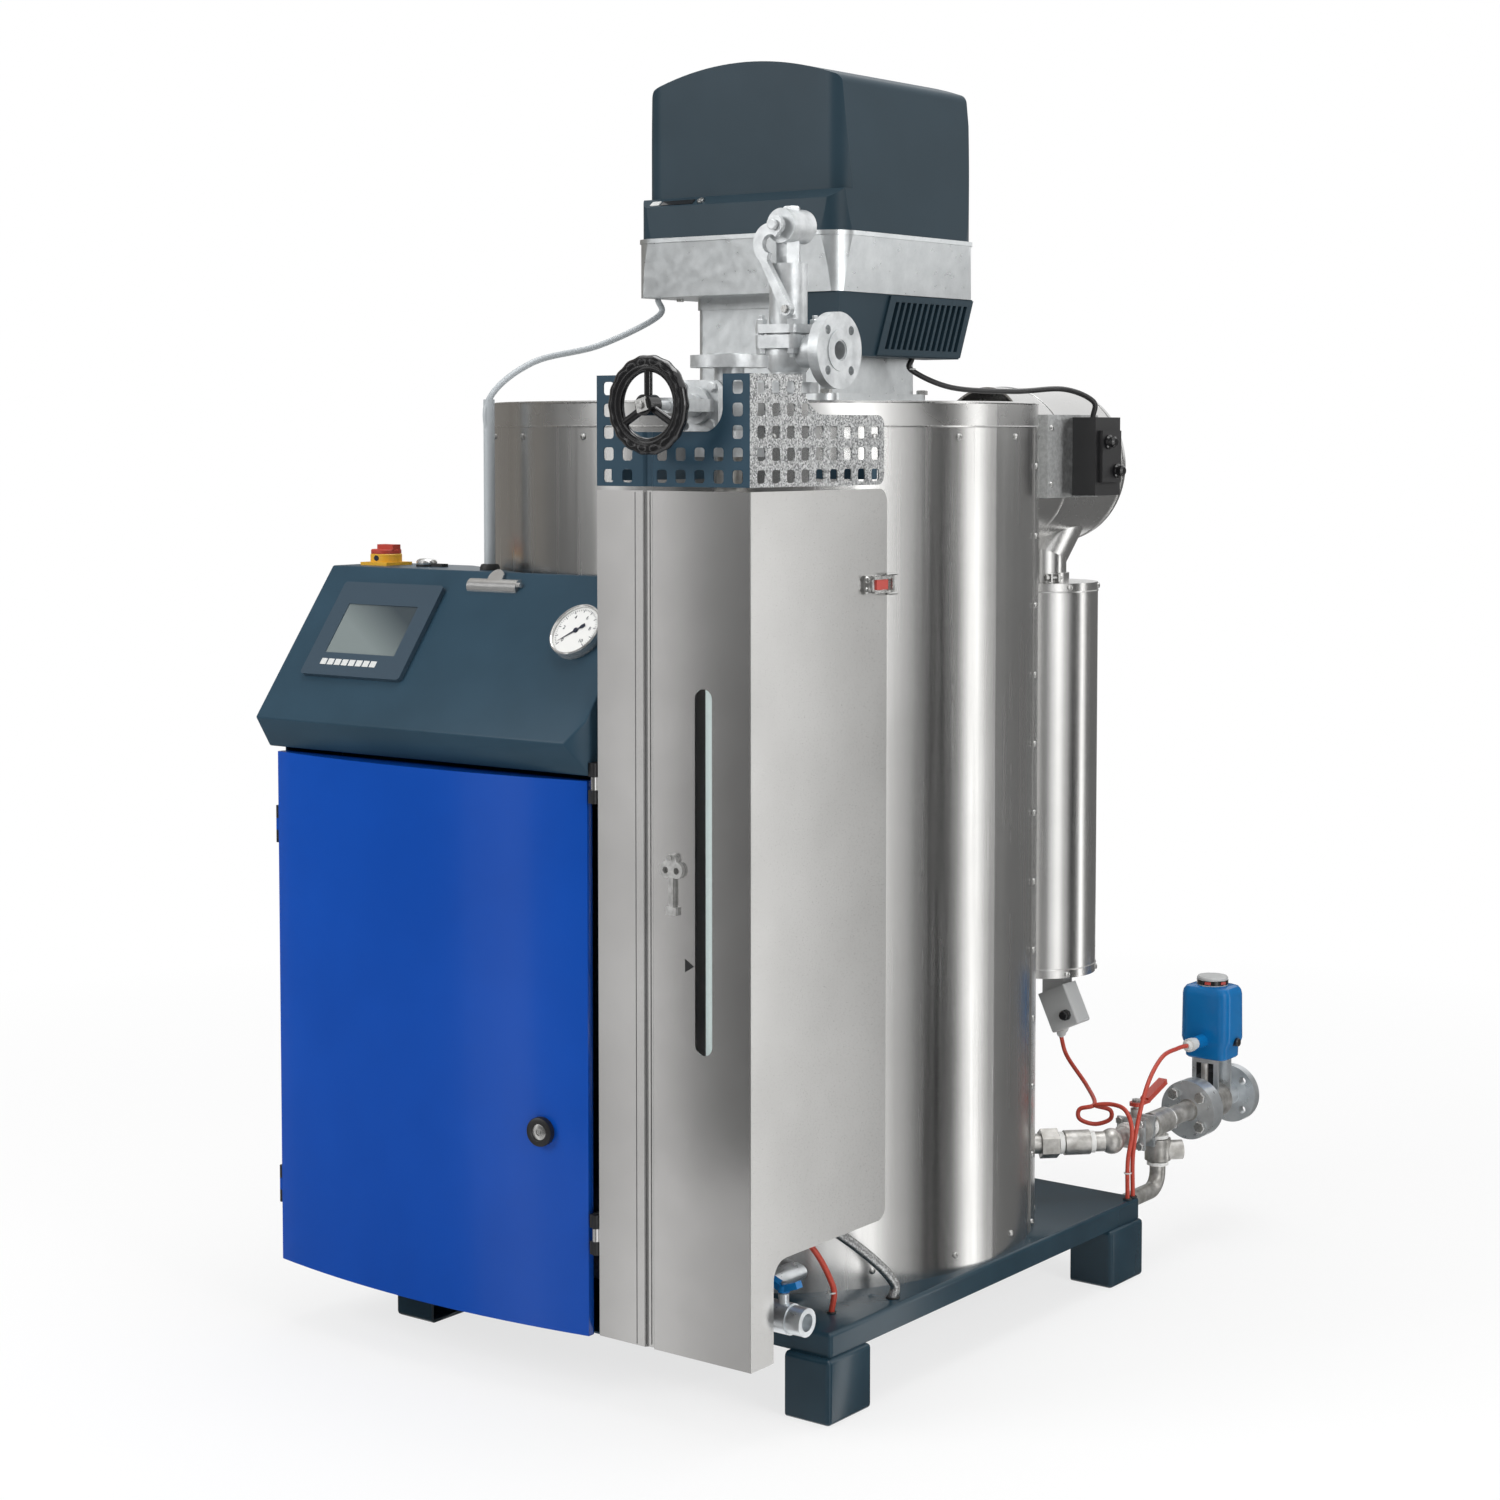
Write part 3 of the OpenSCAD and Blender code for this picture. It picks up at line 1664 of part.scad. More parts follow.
// Drain line and ball valve, mouth to the right
module drain_valve() {
    pipe_r = drain_bore_r + 4;
    at_origin() color(zinc)
        translate([0, 0, drain_z])
            difference() {
                union() {
                    translate([drain_x, 0, 0])
                        bar_y(pipe_r, drain_y, 0);
                    translate([drain_x, drain_y, -pipe_r - 5])
                        cylinder(r = pipe_r + 5, h = 2 * pipe_r + 10);
                    translate([0, drain_y, 0]) {
                        bar_x(pipe_r, drain_x, drain_end - 10);
                        bar_x(drain_bore_r + 10, drain_stem_x - 24, drain_stem_x + 16);
                        bar_x(drain_bore_r + 8, drain_end - 34, drain_end);
                    }
                    translate([drain_stem_x, drain_y, 0]) {
                        cylinder(r = 8, h = 36);
                        cylinder(r = 4, h = 52);
                    }
                }
                translate([0, drain_y, 0])
                    bar_x(drain_bore_r, drain_end - 24, drain_end + 1);
                translate([0, 0, -drain_z])
                    jacket_cut();
            }
}

// Butterfly handle of the drain valve
module drain_handle() {
    at_origin() color("#1068c0")
        translate([drain_stem_x, drain_y, drain_z + 38])
            difference() {
                union() {
                    cylinder(r = 9, h = 10);
                    for (side = [0, 180])
                        rotate(side)
                            translate([0, 0, 2])
                                rotate([0, -20, 0])
                                    block([0, -7, -2], [drain_grip, 7, 8]);
                }
                translate([0, 0, -20])
                    cylinder(r = 4 + run_gap, h = 50);
            }
}

module burner_conduit() {
    at_origin() color("#8c9194")
        lead(conduit_route, conduit_r);
}

module intake_lead() {
    at_origin() color("#1d1f21")
        lead(intake_route, lead_r);
}

module red_leads() {
    at_origin() color("#c0452f") {
        lead(terminal_route, lead_r);
        lead(actuator_route, lead_r);
    }
}

module front_hoses() {
    at_origin() color("#b7b9ba") {
        lead(hose_route, hose_r);
        lead(lead_route, lead_r);
    }
}

base_plate();
feet();
jacket();
jacket_lid();
closure_strip();
burner_neck();
burner_band();
burner_hood();
burner_intake();
steam_pipe();
steam_valve();
handwheel();
safety_valve();
lift_lever();
guard_front();
guard_side();
guard_brackets();
cover_front();
cover_side();
cover_latch();
cover_catch();
cover_key();
gauge_cocks();
gauge_glass();
cabinet();
cabinet_rear_box();
mounting_plate();
cabinet_hinges();
cabinet_door();
door_lock();
console();
touch_panel();
pressure_gauge();
switch_base();
switch_knob();
push_button();
document_clip();
flue_drum();
flue_elbow();
side_vessel();
terminal_box();
controller_bracket();
controller_box();
blowdown_pipe();
ball_valve();
valve_lever();
branch_line();
motor_valve();
valve_actuator();
drain_valve();
drain_handle();
burner_conduit();
intake_lead();
red_leads();
front_hoses();
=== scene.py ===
import math

import bmesh
import bpy
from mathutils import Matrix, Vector


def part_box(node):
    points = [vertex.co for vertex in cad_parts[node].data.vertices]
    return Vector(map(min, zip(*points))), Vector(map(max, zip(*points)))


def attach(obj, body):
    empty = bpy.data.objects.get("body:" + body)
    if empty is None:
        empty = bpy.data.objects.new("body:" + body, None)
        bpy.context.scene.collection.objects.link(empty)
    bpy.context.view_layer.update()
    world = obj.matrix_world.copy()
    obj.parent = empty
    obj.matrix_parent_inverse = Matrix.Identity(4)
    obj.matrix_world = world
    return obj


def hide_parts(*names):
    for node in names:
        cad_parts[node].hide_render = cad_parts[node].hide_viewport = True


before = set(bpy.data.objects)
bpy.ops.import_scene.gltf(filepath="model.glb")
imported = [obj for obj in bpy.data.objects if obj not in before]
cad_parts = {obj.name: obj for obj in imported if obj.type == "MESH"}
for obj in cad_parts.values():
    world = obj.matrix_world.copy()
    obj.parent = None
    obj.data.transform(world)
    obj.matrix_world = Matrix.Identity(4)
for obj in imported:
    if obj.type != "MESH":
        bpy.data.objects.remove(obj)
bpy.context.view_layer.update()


# Camera, at the standing height and three-quarter angle of the photograph.
# The lens is a short telephoto, a little shifted so that uprights stay nearly parallel.
camera_data = bpy.data.cameras.new("camera")
camera_data.lens = 66.77
camera_data.sensor_width = 36.0
camera_data.shift_y = -0.10
camera = bpy.data.objects.new("camera", camera_data)
camera.location = (2.7995, -3.8165, 1.4449)
camera.rotation_euler = (math.radians(90.0 - 3.41), 0.0, math.radians(37.009))
bpy.context.scene.collection.objects.link(camera)
bpy.context.scene.camera = camera
bpy.context.scene.view_settings.view_transform = "Standard"


# Studio: white sweep, an even sky, three soft lamps, and tall dark flags and light
# boards beside the set that only show as upright bands in the bright metal.
def node_tree(owner):
    """An empty node tree of a world or a material."""
    owner.use_nodes = True
    owner.node_tree.nodes.clear()
    return owner.node_tree.nodes, owner.node_tree.links


def sum_of(nodes, links, *sockets):
    """The largest of several 0 or 1 values."""
    total = sockets[0]
    for socket in sockets[1:]:
        larger = nodes.new("ShaderNodeMath")
        larger.operation = "MAXIMUM"
        links.new(total, larger.inputs[0])
        links.new(socket, larger.inputs[1])
        total = larger.outputs[0]
    return total


world = bpy.data.worlds.new("studio")
bpy.context.scene.world = world
nodes, links = node_tree(world)
sky = nodes.new("ShaderNodeBackground")
sky.inputs["Color"].default_value = (1.0, 1.0, 1.0, 1.0)
sky.inputs["Strength"].default_value = 0.42
white = nodes.new("ShaderNodeBackground")
white.inputs["Color"].default_value = (1.0, 1.0, 1.0, 1.0)
white.inputs["Strength"].default_value = 1.0
path = nodes.new("ShaderNodeLightPath")
rays = [path.outputs[kind] for kind in ("Is Camera Ray", "Is Glossy Ray", "Is Transmission Ray")]
choice = nodes.new("ShaderNodeMixShader")
links.new(sum_of(nodes, links, *rays), choice.inputs["Fac"])
links.new(sky.outputs[0], choice.inputs[1])
links.new(white.outputs[0], choice.inputs[2])
out = nodes.new("ShaderNodeOutputWorld")
links.new(choice.outputs[0], out.inputs["Surface"])


def board(name, level, start, end, bottom=-3.0, top=4.0, tone=(1.0, 0.995, 0.985)):
    """An upright stage board between two floor points, seen only in reflections."""
    mesh = bpy.data.meshes.new(name)
    points = [(*side, z) for z in (bottom, top) for side in (start, end)]
    mesh.from_pydata(points, [], [(0, 1, 3, 2)])
    glow = bpy.data.materials.new(name)
    nodes, links = node_tree(glow)
    light = nodes.new("ShaderNodeEmission")
    light.inputs["Color"].default_value = (*tone, 1.0)
    light.inputs["Strength"].default_value = level
    out = nodes.new("ShaderNodeOutputMaterial")
    links.new(light.outputs[0], out.inputs["Surface"])
    mesh.materials.append(glow)
    screen = bpy.data.objects.new(name, mesh)
    bpy.context.scene.collection.objects.link(screen)
    screen.visible_camera = False
    screen.visible_diffuse = False
    screen.visible_shadow = False
    screen.visible_transmission = False


board("strip_light", 2.7, (3.12, 1.88), (2.70, 2.33))
board("flag_beside", 0.0, (3.13, 1.86), (3.71, 0.33))
board("paler_beside", 0.55, (3.72, 0.31), (3.75, -0.62))
board("lamp_right", 1.7, (3.75, -0.65), (3.60, -1.50))
board("flag_behind", 0.17, (2.68, 2.35), (-0.6, 3.9), top=1.62)
board("flag_left", 0.24, (-3.4, 2.6), (-3.4, -2.4), top=5.0, tone=(1.0, 0.94, 0.86))
board("flag_door", 0.12, (-3.2, -1.85), (-0.74, -1.65))
board("gap_left", 0.68, (-0.739, -1.65), (-0.545, -1.65))
board("gap_right", 1.05, (-0.544, -1.65), (-0.411, -1.65))
board("flag_cover", 0.14, (-0.41, -1.65), (0.75, -1.80), bottom=0.07)
board("flag_cover_low", 0.55, (-0.41, -1.65), (0.75, -1.80), top=0.069)
board("flag_rear", 0.12, (-0.61, 3.9), (-3.39, 2.61), bottom=0.0, top=1.4)
board("flag_camera", 0.22, (3.40, -2.47), (1.71, -3.84))

reach = 30.0
floor_mesh = bpy.data.meshes.new("floor")
corners = [(-reach, -reach, 0), (reach, -reach, 0), (reach, reach, 0), (-reach, reach, 0)]
floor_mesh.from_pydata(corners, [], [(0, 1, 2, 3)])
floor = bpy.data.objects.new("floor", floor_mesh)
bpy.context.scene.collection.objects.link(floor)
sweep = bpy.data.materials.new("sweep")
nodes, links = node_tree(sweep)
matt = nodes.new("ShaderNodeBsdfDiffuse")
matt.inputs["Color"].default_value = (0.88, 0.88, 0.88, 1.0)
glow = nodes.new("ShaderNodeEmission")
glow.inputs["Strength"].default_value = 1.0
path = nodes.new("ShaderNodeLightPath")
place = nodes.new("ShaderNodeTexCoord")
away = nodes.new("ShaderNodeVectorMath")
away.operation = "LENGTH"
links.new(place.outputs["Object"], away.inputs[0])
paler = nodes.new("ShaderNodeMapRange")
paler.inputs["From Min"].default_value = 0.9
paler.inputs["From Max"].default_value = 3.2
paler.inputs["To Min"].default_value = 0.74
paler.inputs["To Max"].default_value = 1.0
links.new(away.outputs["Value"], paler.inputs["Value"])
share = nodes.new("ShaderNodeMath")
share.operation = "MULTIPLY"
seen = sum_of(nodes, links, path.outputs["Is Camera Ray"], path.outputs["Is Glossy Ray"])
links.new(seen, share.inputs[0])
links.new(paler.outputs["Result"], share.inputs[1])
mix = nodes.new("ShaderNodeMixShader")
links.new(share.outputs[0], mix.inputs["Fac"])
links.new(matt.outputs[0], mix.inputs[1])
links.new(glow.outputs[0], mix.inputs[2])
out = nodes.new("ShaderNodeOutputMaterial")
links.new(mix.outputs[0], out.inputs["Surface"])
floor_mesh.materials.append(sweep)
floor.visible_glossy = False


def lamp(name, place, size, power):
    """A soft square lamp aimed at the middle of the boiler."""
    data = bpy.data.lights.new(name, "AREA")
    data.size = size
    data.energy = power
    head = bpy.data.objects.new(name, data)
    head.location = place
    head.rotation_mode = "QUATERNION"
    head.rotation_quaternion = (Vector((0.0, 0.0, 1.0)) - Vector(place)).to_track_quat("-Z", "Y")
    bpy.context.scene.collection.objects.link(head)


lamp("key", (-2.4, -4.6, 3.4), 2.4, 150.0)
lamp("fill", (4.8, -1.2, 2.4), 2.2, 90.0)
lamp("top", (0.2, 0.2, 5.2), 3.0, 120.0)


# Base tray and feet: folded steel sheet with rolled edges under a glossy slate coat, drawn darker as
# painted shade.
# Rubber grommets line the holes where leads and hoses go down through the tray.
def principled(name, colour, metallic, roughness, coat=0.0, specular=0.5):
    """A material with a Principled shader whose constants sit on its own sockets."""
    finish = bpy.data.materials.new(name)
    nodes, links = node_tree(finish)
    shader = nodes.new("ShaderNodeBsdfPrincipled")
    shader.inputs["Base Color"].default_value = (*colour, 1.0)
    shader.inputs["Metallic"].default_value = metallic
    shader.inputs["Roughness"].default_value = roughness
    shader.inputs["Specular IOR Level"].default_value = specular
    shader.inputs["Coat Weight"].default_value = coat
    shader.inputs["Coat Roughness"].default_value = 0.08
    out = nodes.new("ShaderNodeOutputMaterial")
    links.new(shader.outputs[0], out.inputs["Surface"])
    return finish, nodes, links, shader


def grain(nodes, links, scale, stretch=(1, 1, 1), detail=3.0, roughness=0.55):
    """Noise on Object coordinates, finer along the axes with a larger stretch."""
    place = nodes.new("ShaderNodeTexCoord")
    mapping = nodes.new("ShaderNodeMapping")
    mapping.inputs["Scale"].default_value = stretch
    links.new(place.outputs["Object"], mapping.inputs["Vector"])
    noise = nodes.new("ShaderNodeTexNoise")
    noise.inputs["Scale"].default_value = scale
    noise.inputs["Detail"].default_value = detail
    noise.inputs["Roughness"].default_value = roughness
    links.new(mapping.outputs["Vector"], noise.inputs["Vector"])
    return noise.outputs["Fac"]


def tint(nodes, links, shader, value, dark, light, low=0.35, high=0.65):
    """Varies the base colour between two tones."""
    ramp = nodes.new("ShaderNodeValToRGB")
    ramp.color_ramp.elements[0].position = low
    ramp.color_ramp.elements[0].color = (*dark, 1.0)
    ramp.color_ramp.elements[1].position = high
    ramp.color_ramp.elements[1].color = (*light, 1.0)
    links.new(value, ramp.inputs["Fac"])
    links.new(ramp.outputs["Color"], shader.inputs["Base Color"])


def sheen(nodes, links, shader, value, low, high):
    """Varies the roughness between two values."""
    span = nodes.new("ShaderNodeMapRange")
    span.inputs["From Min"].default_value = 0.3
    span.inputs["From Max"].default_value = 0.7
    span.inputs["To Min"].default_value = low
    span.inputs["To Max"].default_value = high
    links.new(value, span.inputs["Value"])
    links.new(span.outputs["Result"], shader.inputs["Roughness"])


def relief(nodes, links, shader, value, strength, depth):
    """Fine relief, its depth in metres."""
    bump = nodes.new("ShaderNodeBump")
    bump.inputs["Strength"].default_value = strength
    bump.inputs["Distance"].default_value = depth
    links.new(value, bump.inputs["Height"])
    links.new(bump.outputs["Normal"], shader.inputs["Normal"])


def dress(finish, *names):
    """Gives CAD nodes their finish."""
    for name in names:
        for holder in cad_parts[name].material_slots:
            holder.material = finish


jacket_low, jacket_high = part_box("jacket")
jacket_middle = (Vector(jacket_low) + Vector(jacket_high)) / 2


def spot(x, y, z):
    """A point given in millimetres from the jacket's axis and the floor."""
    return Vector((jacket_middle.x + x / 1000, jacket_middle.y + y / 1000, z / 1000))


def turned(profile, sides, place, along, closed=False, phase=0.0):
    """A solid of revolution from (radius, height) pairs in millimetres, about an axis."""
    facing = Vector((0, 0, 1)).rotation_difference(Vector(along))
    points = []
    for radius, height in profile:
        for k in range(sides):
            turn = phase + 2 * math.pi * k / sides
            local = Vector((radius * math.cos(turn), radius * math.sin(turn), height)) / 1000
            points.append(place + facing @ local)
    rings = len(profile)
    faces = []
    for i in range(rings if closed else rings - 1):
        low = i * sides
        high = (i + 1) % rings * sides
        for k in range(sides):
            after = (k + 1) % sides
            faces.append((low + k, low + after, high + after, high + k))
    if not closed:
        faces.append(tuple(range(sides - 1, -1, -1)))
        faces.append(tuple((rings - 1) * sides + k for k in range(sides)))
    return points, faces


def ring_profile(radius, thickness, sides=10):
    """The round section of a ring, for turned with closed set."""
    turns = [2 * math.pi * k / sides for k in range(sides)]
    return [(radius + thickness * math.cos(t), thickness * math.sin(t)) for t in turns]


def slab(place, across, up, wide, tall, low, high):
    """A box on a plane: its middle, two directions in the plane, and heights over it."""
    across = Vector(across).normalized()
    up = Vector(up).normalized()
    over = across.cross(up)
    corners = [(-1, -1), (1, -1), (1, 1), (-1, 1)]
    points = []
    for height in (low, high):
        for sx, sy in corners:
            step = across * sx * wide / 2 + up * sy * tall / 2 + over * height
            points.append(place + step / 1000)
    faces = [(3, 2, 1, 0), (4, 5, 6, 7)]
    faces += [(k, (k + 1) % 4, (k + 1) % 4 + 4, k + 4) for k in range(4)]
    return points, faces


def add(name, body, finish, *parts, node=()):
    """One piece from several parts, smooth except at its real edges, on a body."""
    points = []
    faces = []
    for part_points, part_faces in parts:
        first = len(points)
        points += part_points
        faces += [tuple(first + index for index in face) for face in part_faces]
    mesh = bpy.data.meshes.new(name)
    mesh.from_pydata(points, [], faces)
    mesh.polygons.foreach_set("use_smooth", [True] * len(mesh.polygons))
    mesh.set_sharp_from_angle(angle=math.radians(32))
    mesh.materials.append(finish)
    piece = bpy.data.objects.new(name, mesh)
    bpy.context.scene.collection.objects.link(piece)
    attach(piece, body)
    if node:
        dress(finish, *node)
        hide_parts(*node)
    return piece


def softened(name, body, finish, radius, node):
    """A copy of a CAD node with its long outer edges rolled, in the node's place."""
    work = bmesh.new()
    work.from_mesh(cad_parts[node].data)
    bmesh.ops.remove_doubles(work, verts=work.verts, dist=1e-6)
    bmesh.ops.dissolve_limit(work, angle_limit=0.01, verts=work.verts, edges=work.edges)
    rolled = []
    for edge in work.edges:
        if not edge.is_manifold or not edge.is_convex:
            continue
        narrow = min(2 * face.calc_area() / face.calc_perimeter() for face in edge.link_faces)
        if edge.calc_face_angle() > 0.8 and edge.calc_length() > 0.03 and narrow > 0.008:
            rolled.append(edge)
    bmesh.ops.bevel(
        work, geom=rolled, offset=radius / 1000, offset_type="OFFSET", segments=4,
        profile=0.5, affect="EDGES", clamp_overlap=True,
    )
    bmesh.ops.triangulate(work, faces=[face for face in work.faces if len(face.verts) > 4])
    mesh = bpy.data.meshes.new(name)
    work.to_mesh(mesh)
    work.free()
    mesh.polygons.foreach_set("use_smooth", [True] * len(mesh.polygons))
    mesh.set_sharp_from_angle(angle=math.radians(32))
    mesh.materials.clear()
    mesh.materials.append(finish)
    piece = bpy.data.objects.new(name, mesh)
    bpy.context.scene.collection.objects.link(piece)
    dress(finish, node)
    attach(piece, body)
    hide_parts(node)


# The tray's colour is the slate coat drawn about a quarter darker: painted shade.
shaded_base_coat, nodes, links, shader = principled("shaded_base_coat", (0.016, 0.042, 0.062), 0.0, 0.22, 0.06, 0.28)
tint(nodes, links, shader, grain(nodes, links, 9.0), (0.014, 0.038, 0.057), (0.018, 0.046, 0.067))
relief(nodes, links, shader, grain(nodes, links, 160.0, detail=1.0), 0.12, 0.0003)
softened("tray_skin", "boiler", shaded_base_coat, 6.0, "base_plate")
softened("foot_skins", "boiler", shaded_base_coat, 7.0, "feet")

rubber, nodes, links, shader = principled("rubber", (0.012, 0.012, 0.012), 0.0, 0.6)
relief(nodes, links, shader, grain(nodes, links, 800.0), 0.2, 0.0002)
tray_holes = [(404, -378, 5.0), (436, -262, 8.5), (452, 432, 5.0), (452, 450, 5.0)]
grommets = [
    turned(ring_profile(r + 0.8, 1.9), 32, spot(x, y, 135), (0, 0, 1), closed=True)
    for x, y, r in tray_holes
]
add("tray_grommets", "boiler", rubber, *grommets)


# Jacket, lid and closure strip: bright stainless sheet rolled round the lagging, its grain
# upright, so that lamps draw out into tall bands. Pan-head screws hold the seams.
bright_sheet, nodes, links, shader = principled("bright_sheet", (0.60, 0.598, 0.59), 1.0, 0.24)
tint(nodes, links, shader, grain(nodes, links, 3.0), (0.57, 0.568, 0.56), (0.64, 0.638, 0.63))
sheen(nodes, links, shader, grain(nodes, links, 90.0, (1, 1, 0.02), 4.0), 0.23, 0.28)
relief(nodes, links, shader, grain(nodes, links, 700.0, (1, 1, 0.03), 2.0), 0.06, 0.0001)
dress(bright_sheet, "jacket", "closure_strip")
lid_sheet, nodes, links, shader = principled("lid_sheet", (0.60, 0.598, 0.59), 1.0, 0.27)
tint(nodes, links, shader, grain(nodes, links, 3.0), (0.57, 0.568, 0.56), (0.64, 0.638, 0.63))
sheen(nodes, links, shader, grain(nodes, links, 12.0, detail=2.0), 0.25, 0.30)
dress(lid_sheet, "jacket_lid")


def scatter(name, body, finish, part, places):
    """Repeats one fastener at its seats with Geometry Nodes, each along its own axis."""
    seats = bpy.data.meshes.new(name + "_seats")
    seats.from_pydata([tuple(point) for point, _ in places], [], [])
    facing = seats.attributes.new("facing", "FLOAT_VECTOR", "POINT")
    for index, (_, axis) in enumerate(places):
        facing.data[index].vector = axis
    seat_object = bpy.data.objects.new(name + "_seats", seats)
    bpy.context.scene.collection.objects.link(seat_object)
    single = bpy.data.meshes.new(name + "_single")
    single.from_pydata(part[0], [], part[1])
    single.polygons.foreach_set("use_smooth", [True] * len(single.polygons))
    single.set_sharp_from_angle(angle=math.radians(32))
    source = bpy.data.objects.new(name + "_single", single)
    group = bpy.data.node_groups.new(name, "GeometryNodeTree")
    sockets = group.interface
    sockets.new_socket(name="Seats", in_out="INPUT", socket_type="NodeSocketGeometry")
    fastener = sockets.new_socket(name="Fastener", in_out="INPUT", socket_type="NodeSocketObject")
    surface = sockets.new_socket(name="Finish", in_out="INPUT", socket_type="NodeSocketMaterial")
    seed = sockets.new_socket(name="Seed", in_out="INPUT", socket_type="NodeSocketInt")
    sockets.new_socket(name="Fasteners", in_out="OUTPUT", socket_type="NodeSocketGeometry")
    nodes = group.nodes
    links = group.links
    entry = nodes.new("NodeGroupInput")
    leave = nodes.new("NodeGroupOutput")
    axis = nodes.new("GeometryNodeInputNamedAttribute")
    axis.data_type = "FLOAT_VECTOR"
    axis.inputs["Name"].default_value = "facing"
    align = nodes.new("FunctionNodeAlignRotationToVector")
    align.axis = "Z"
    links.new(axis.outputs["Attribute"], align.inputs["Vector"])
    spin = nodes.new("FunctionNodeRandomValue")
    spin.data_type = "FLOAT_VECTOR"
    spin.inputs["Min"].default_value = (0.0, 0.0, 0.0)
    spin.inputs["Max"].default_value = (0.0, 0.0, 6.283)
    links.new(entry.outputs["Seed"], spin.inputs["Seed"])
    turn = nodes.new("FunctionNodeRotateRotation")
    turn.rotation_space = "LOCAL"
    links.new(align.outputs["Rotation"], turn.inputs["Rotation"])
    links.new(spin.outputs["Value"], turn.inputs["Rotate By"])
    info = nodes.new("GeometryNodeObjectInfo")
    links.new(entry.outputs["Fastener"], info.inputs["Object"])
    copies = nodes.new("GeometryNodeInstanceOnPoints")
    links.new(entry.outputs["Seats"], copies.inputs["Points"])
    links.new(info.outputs["Geometry"], copies.inputs["Instance"])
    links.new(turn.outputs["Rotation"], copies.inputs["Rotation"])
    real = nodes.new("GeometryNodeRealizeInstances")
    links.new(copies.outputs["Instances"], real.inputs["Geometry"])
    paint = nodes.new("GeometryNodeSetMaterial")
    links.new(real.outputs["Geometry"], paint.inputs["Geometry"])
    links.new(entry.outputs["Finish"], paint.inputs["Material"])
    links.new(paint.outputs["Geometry"], leave.inputs["Fasteners"])
    work = seat_object.modifiers.new(name, "NODES")
    work.node_group = group
    work[fastener.identifier] = source
    work[surface.identifier] = finish
    work[seed.identifier] = 7
    depsgraph = bpy.context.evaluated_depsgraph_get()
    mesh = bpy.data.meshes.new_from_object(seat_object.evaluated_get(depsgraph))
    bpy.data.objects.remove(seat_object)
    bpy.data.objects.remove(source)
    piece = bpy.data.objects.new(name, mesh)
    bpy.context.scene.collection.objects.link(piece)
    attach(piece, body)
    return piece


def around(heading, radius, z):
    """A seat on the round jacket and the way out from it."""
    turn = math.radians(heading)
    return spot(radius * math.cos(turn), radius * math.sin(turn), z), (math.cos(turn), math.sin(turn), 0.0)


zinc_screw, nodes, links, shader = principled("zinc_screw", (0.52, 0.52, 0.51), 1.0, 0.30)
sheen(nodes, links, shader, grain(nodes, links, 400.0), 0.24, 0.36)
origin = Vector((0, 0, 0))
pan_profile = [(5.2, -0.3), (5.2, 1.2), (4.3, 2.6), (2.6, 3.3), (1.6, 3.4), (1.4, 2.2)]
pan_head = turned(pan_profile, 16, origin, (0, 0, 1))
screws = [around(heading, 450, z) for heading in range(-172, 188, 20) for z in (160, 1441)]
screws += [around(21.8, 452.5, z) for z in range(150, 1440, 113)]
scatter("jacket_screws", "boiler", zinc_screw, pan_head, screws)
bead = turned(ring_profile(450.2, 1.5, 8), 180, spot(0, 0, 1457), (0, 0, 1), closed=True)
rim_bead = turned(ring_profile(448.6, 2.4, 8), 180, spot(0, 0, 1494), (0, 0, 1), closed=True)
add("lid_beads", "boiler", bright_sheet, bead, rim_bead)


# Burner: a cast aluminium case and neck, mottled from the mould, under a moulded slate
# hood. The ledge holds a dark reset window, a pale key and the hood's screw.
cast_alloy, nodes, links, shader = principled("cast_alloy", (0.60, 0.62, 0.63), 0.92, 0.40)
mottle = grain(nodes, links, 26.0, (1, 1, 1), 7.0, 0.68)
tint(nodes, links, shader, mottle, (0.57, 0.595, 0.605), (0.71, 0.735, 0.745), 0.30, 0.70)
sheen(nodes, links, shader, grain(nodes, links, 60.0), 0.27, 0.36)
relief(nodes, links, shader, grain(nodes, links, 420.0, detail=2.0), 0.3, 0.0003)
dress(cast_alloy, "burner_neck", "burner_band")
hood_skin, nodes, links, shader = principled("hood_skin", (0.016, 0.037, 0.054), 0.0, 0.42, specular=0.20)
tint(nodes, links, shader, grain(nodes, links, 5.0), (0.015, 0.034, 0.048), (0.019, 0.040, 0.056))
relief(nodes, links, shader, grain(nodes, links, 1300.0, detail=2.0), 0.35, 0.0002)
dress(hood_skin, "burner_hood", "burner_intake")

gloss_black, nodes, links, shader = principled("gloss_black", (0.006, 0.006, 0.007), 0.0, 0.12, coat=0.4)
sheen(nodes, links, shader, grain(nodes, links, 30.0), 0.10, 0.16)
white_moulding, nodes, links, shader = principled("white_moulding", (0.62, 0.63, 0.62), 0.0, 0.4)
relief(nodes, links, shader, grain(nodes, links, 600.0), 0.1, 0.0002)
ledge_up = (0, 22, 17)
ledge_out = Vector((0, -17, 22)).normalized()
window_pane = slab(spot(-76, -139, 1821.5), (1, 0, 0), ledge_up, 66, 12, -0.5, 1.0)
add("reset_window", "boiler", gloss_black, window_pane)
key_cap = slab(spot(-122, -139, 1821.5), (1, 0, 0), ledge_up, 18, 11, -0.5, 1.4)
add("reset_key", "boiler", white_moulding, key_cap)
cheese_head = turned([(6, -0.5), (6, 3.2), (5.2, 4), (3.0, 4), (2.6, 2.4)], 20, origin, (0, 0, 1))
hood_screws = [(spot(-28, -139, 1821.5), ledge_out)]
hood_screws += [(spot(46 + sx * 150, 52 + sy * 150, 1667), (0, 0, -1)) for sx in (-1, 1) for sy in (-1, 1)]
scatter("burner_screws", "boiler", zinc_screw, cheese_head, hood_screws)
hex_head = turned([(9.5, -0.5), (9.5, 6.0), (8.2, 7.0), (4.0, 7.2)], 6, origin, (0, 0, 1))
plate_bolts = [(spot(46 + sx * 138, 52 + sy * 138, 1511), (0, 0, 1)) for sx in (-1, 1) for sy in (-1, 1)]
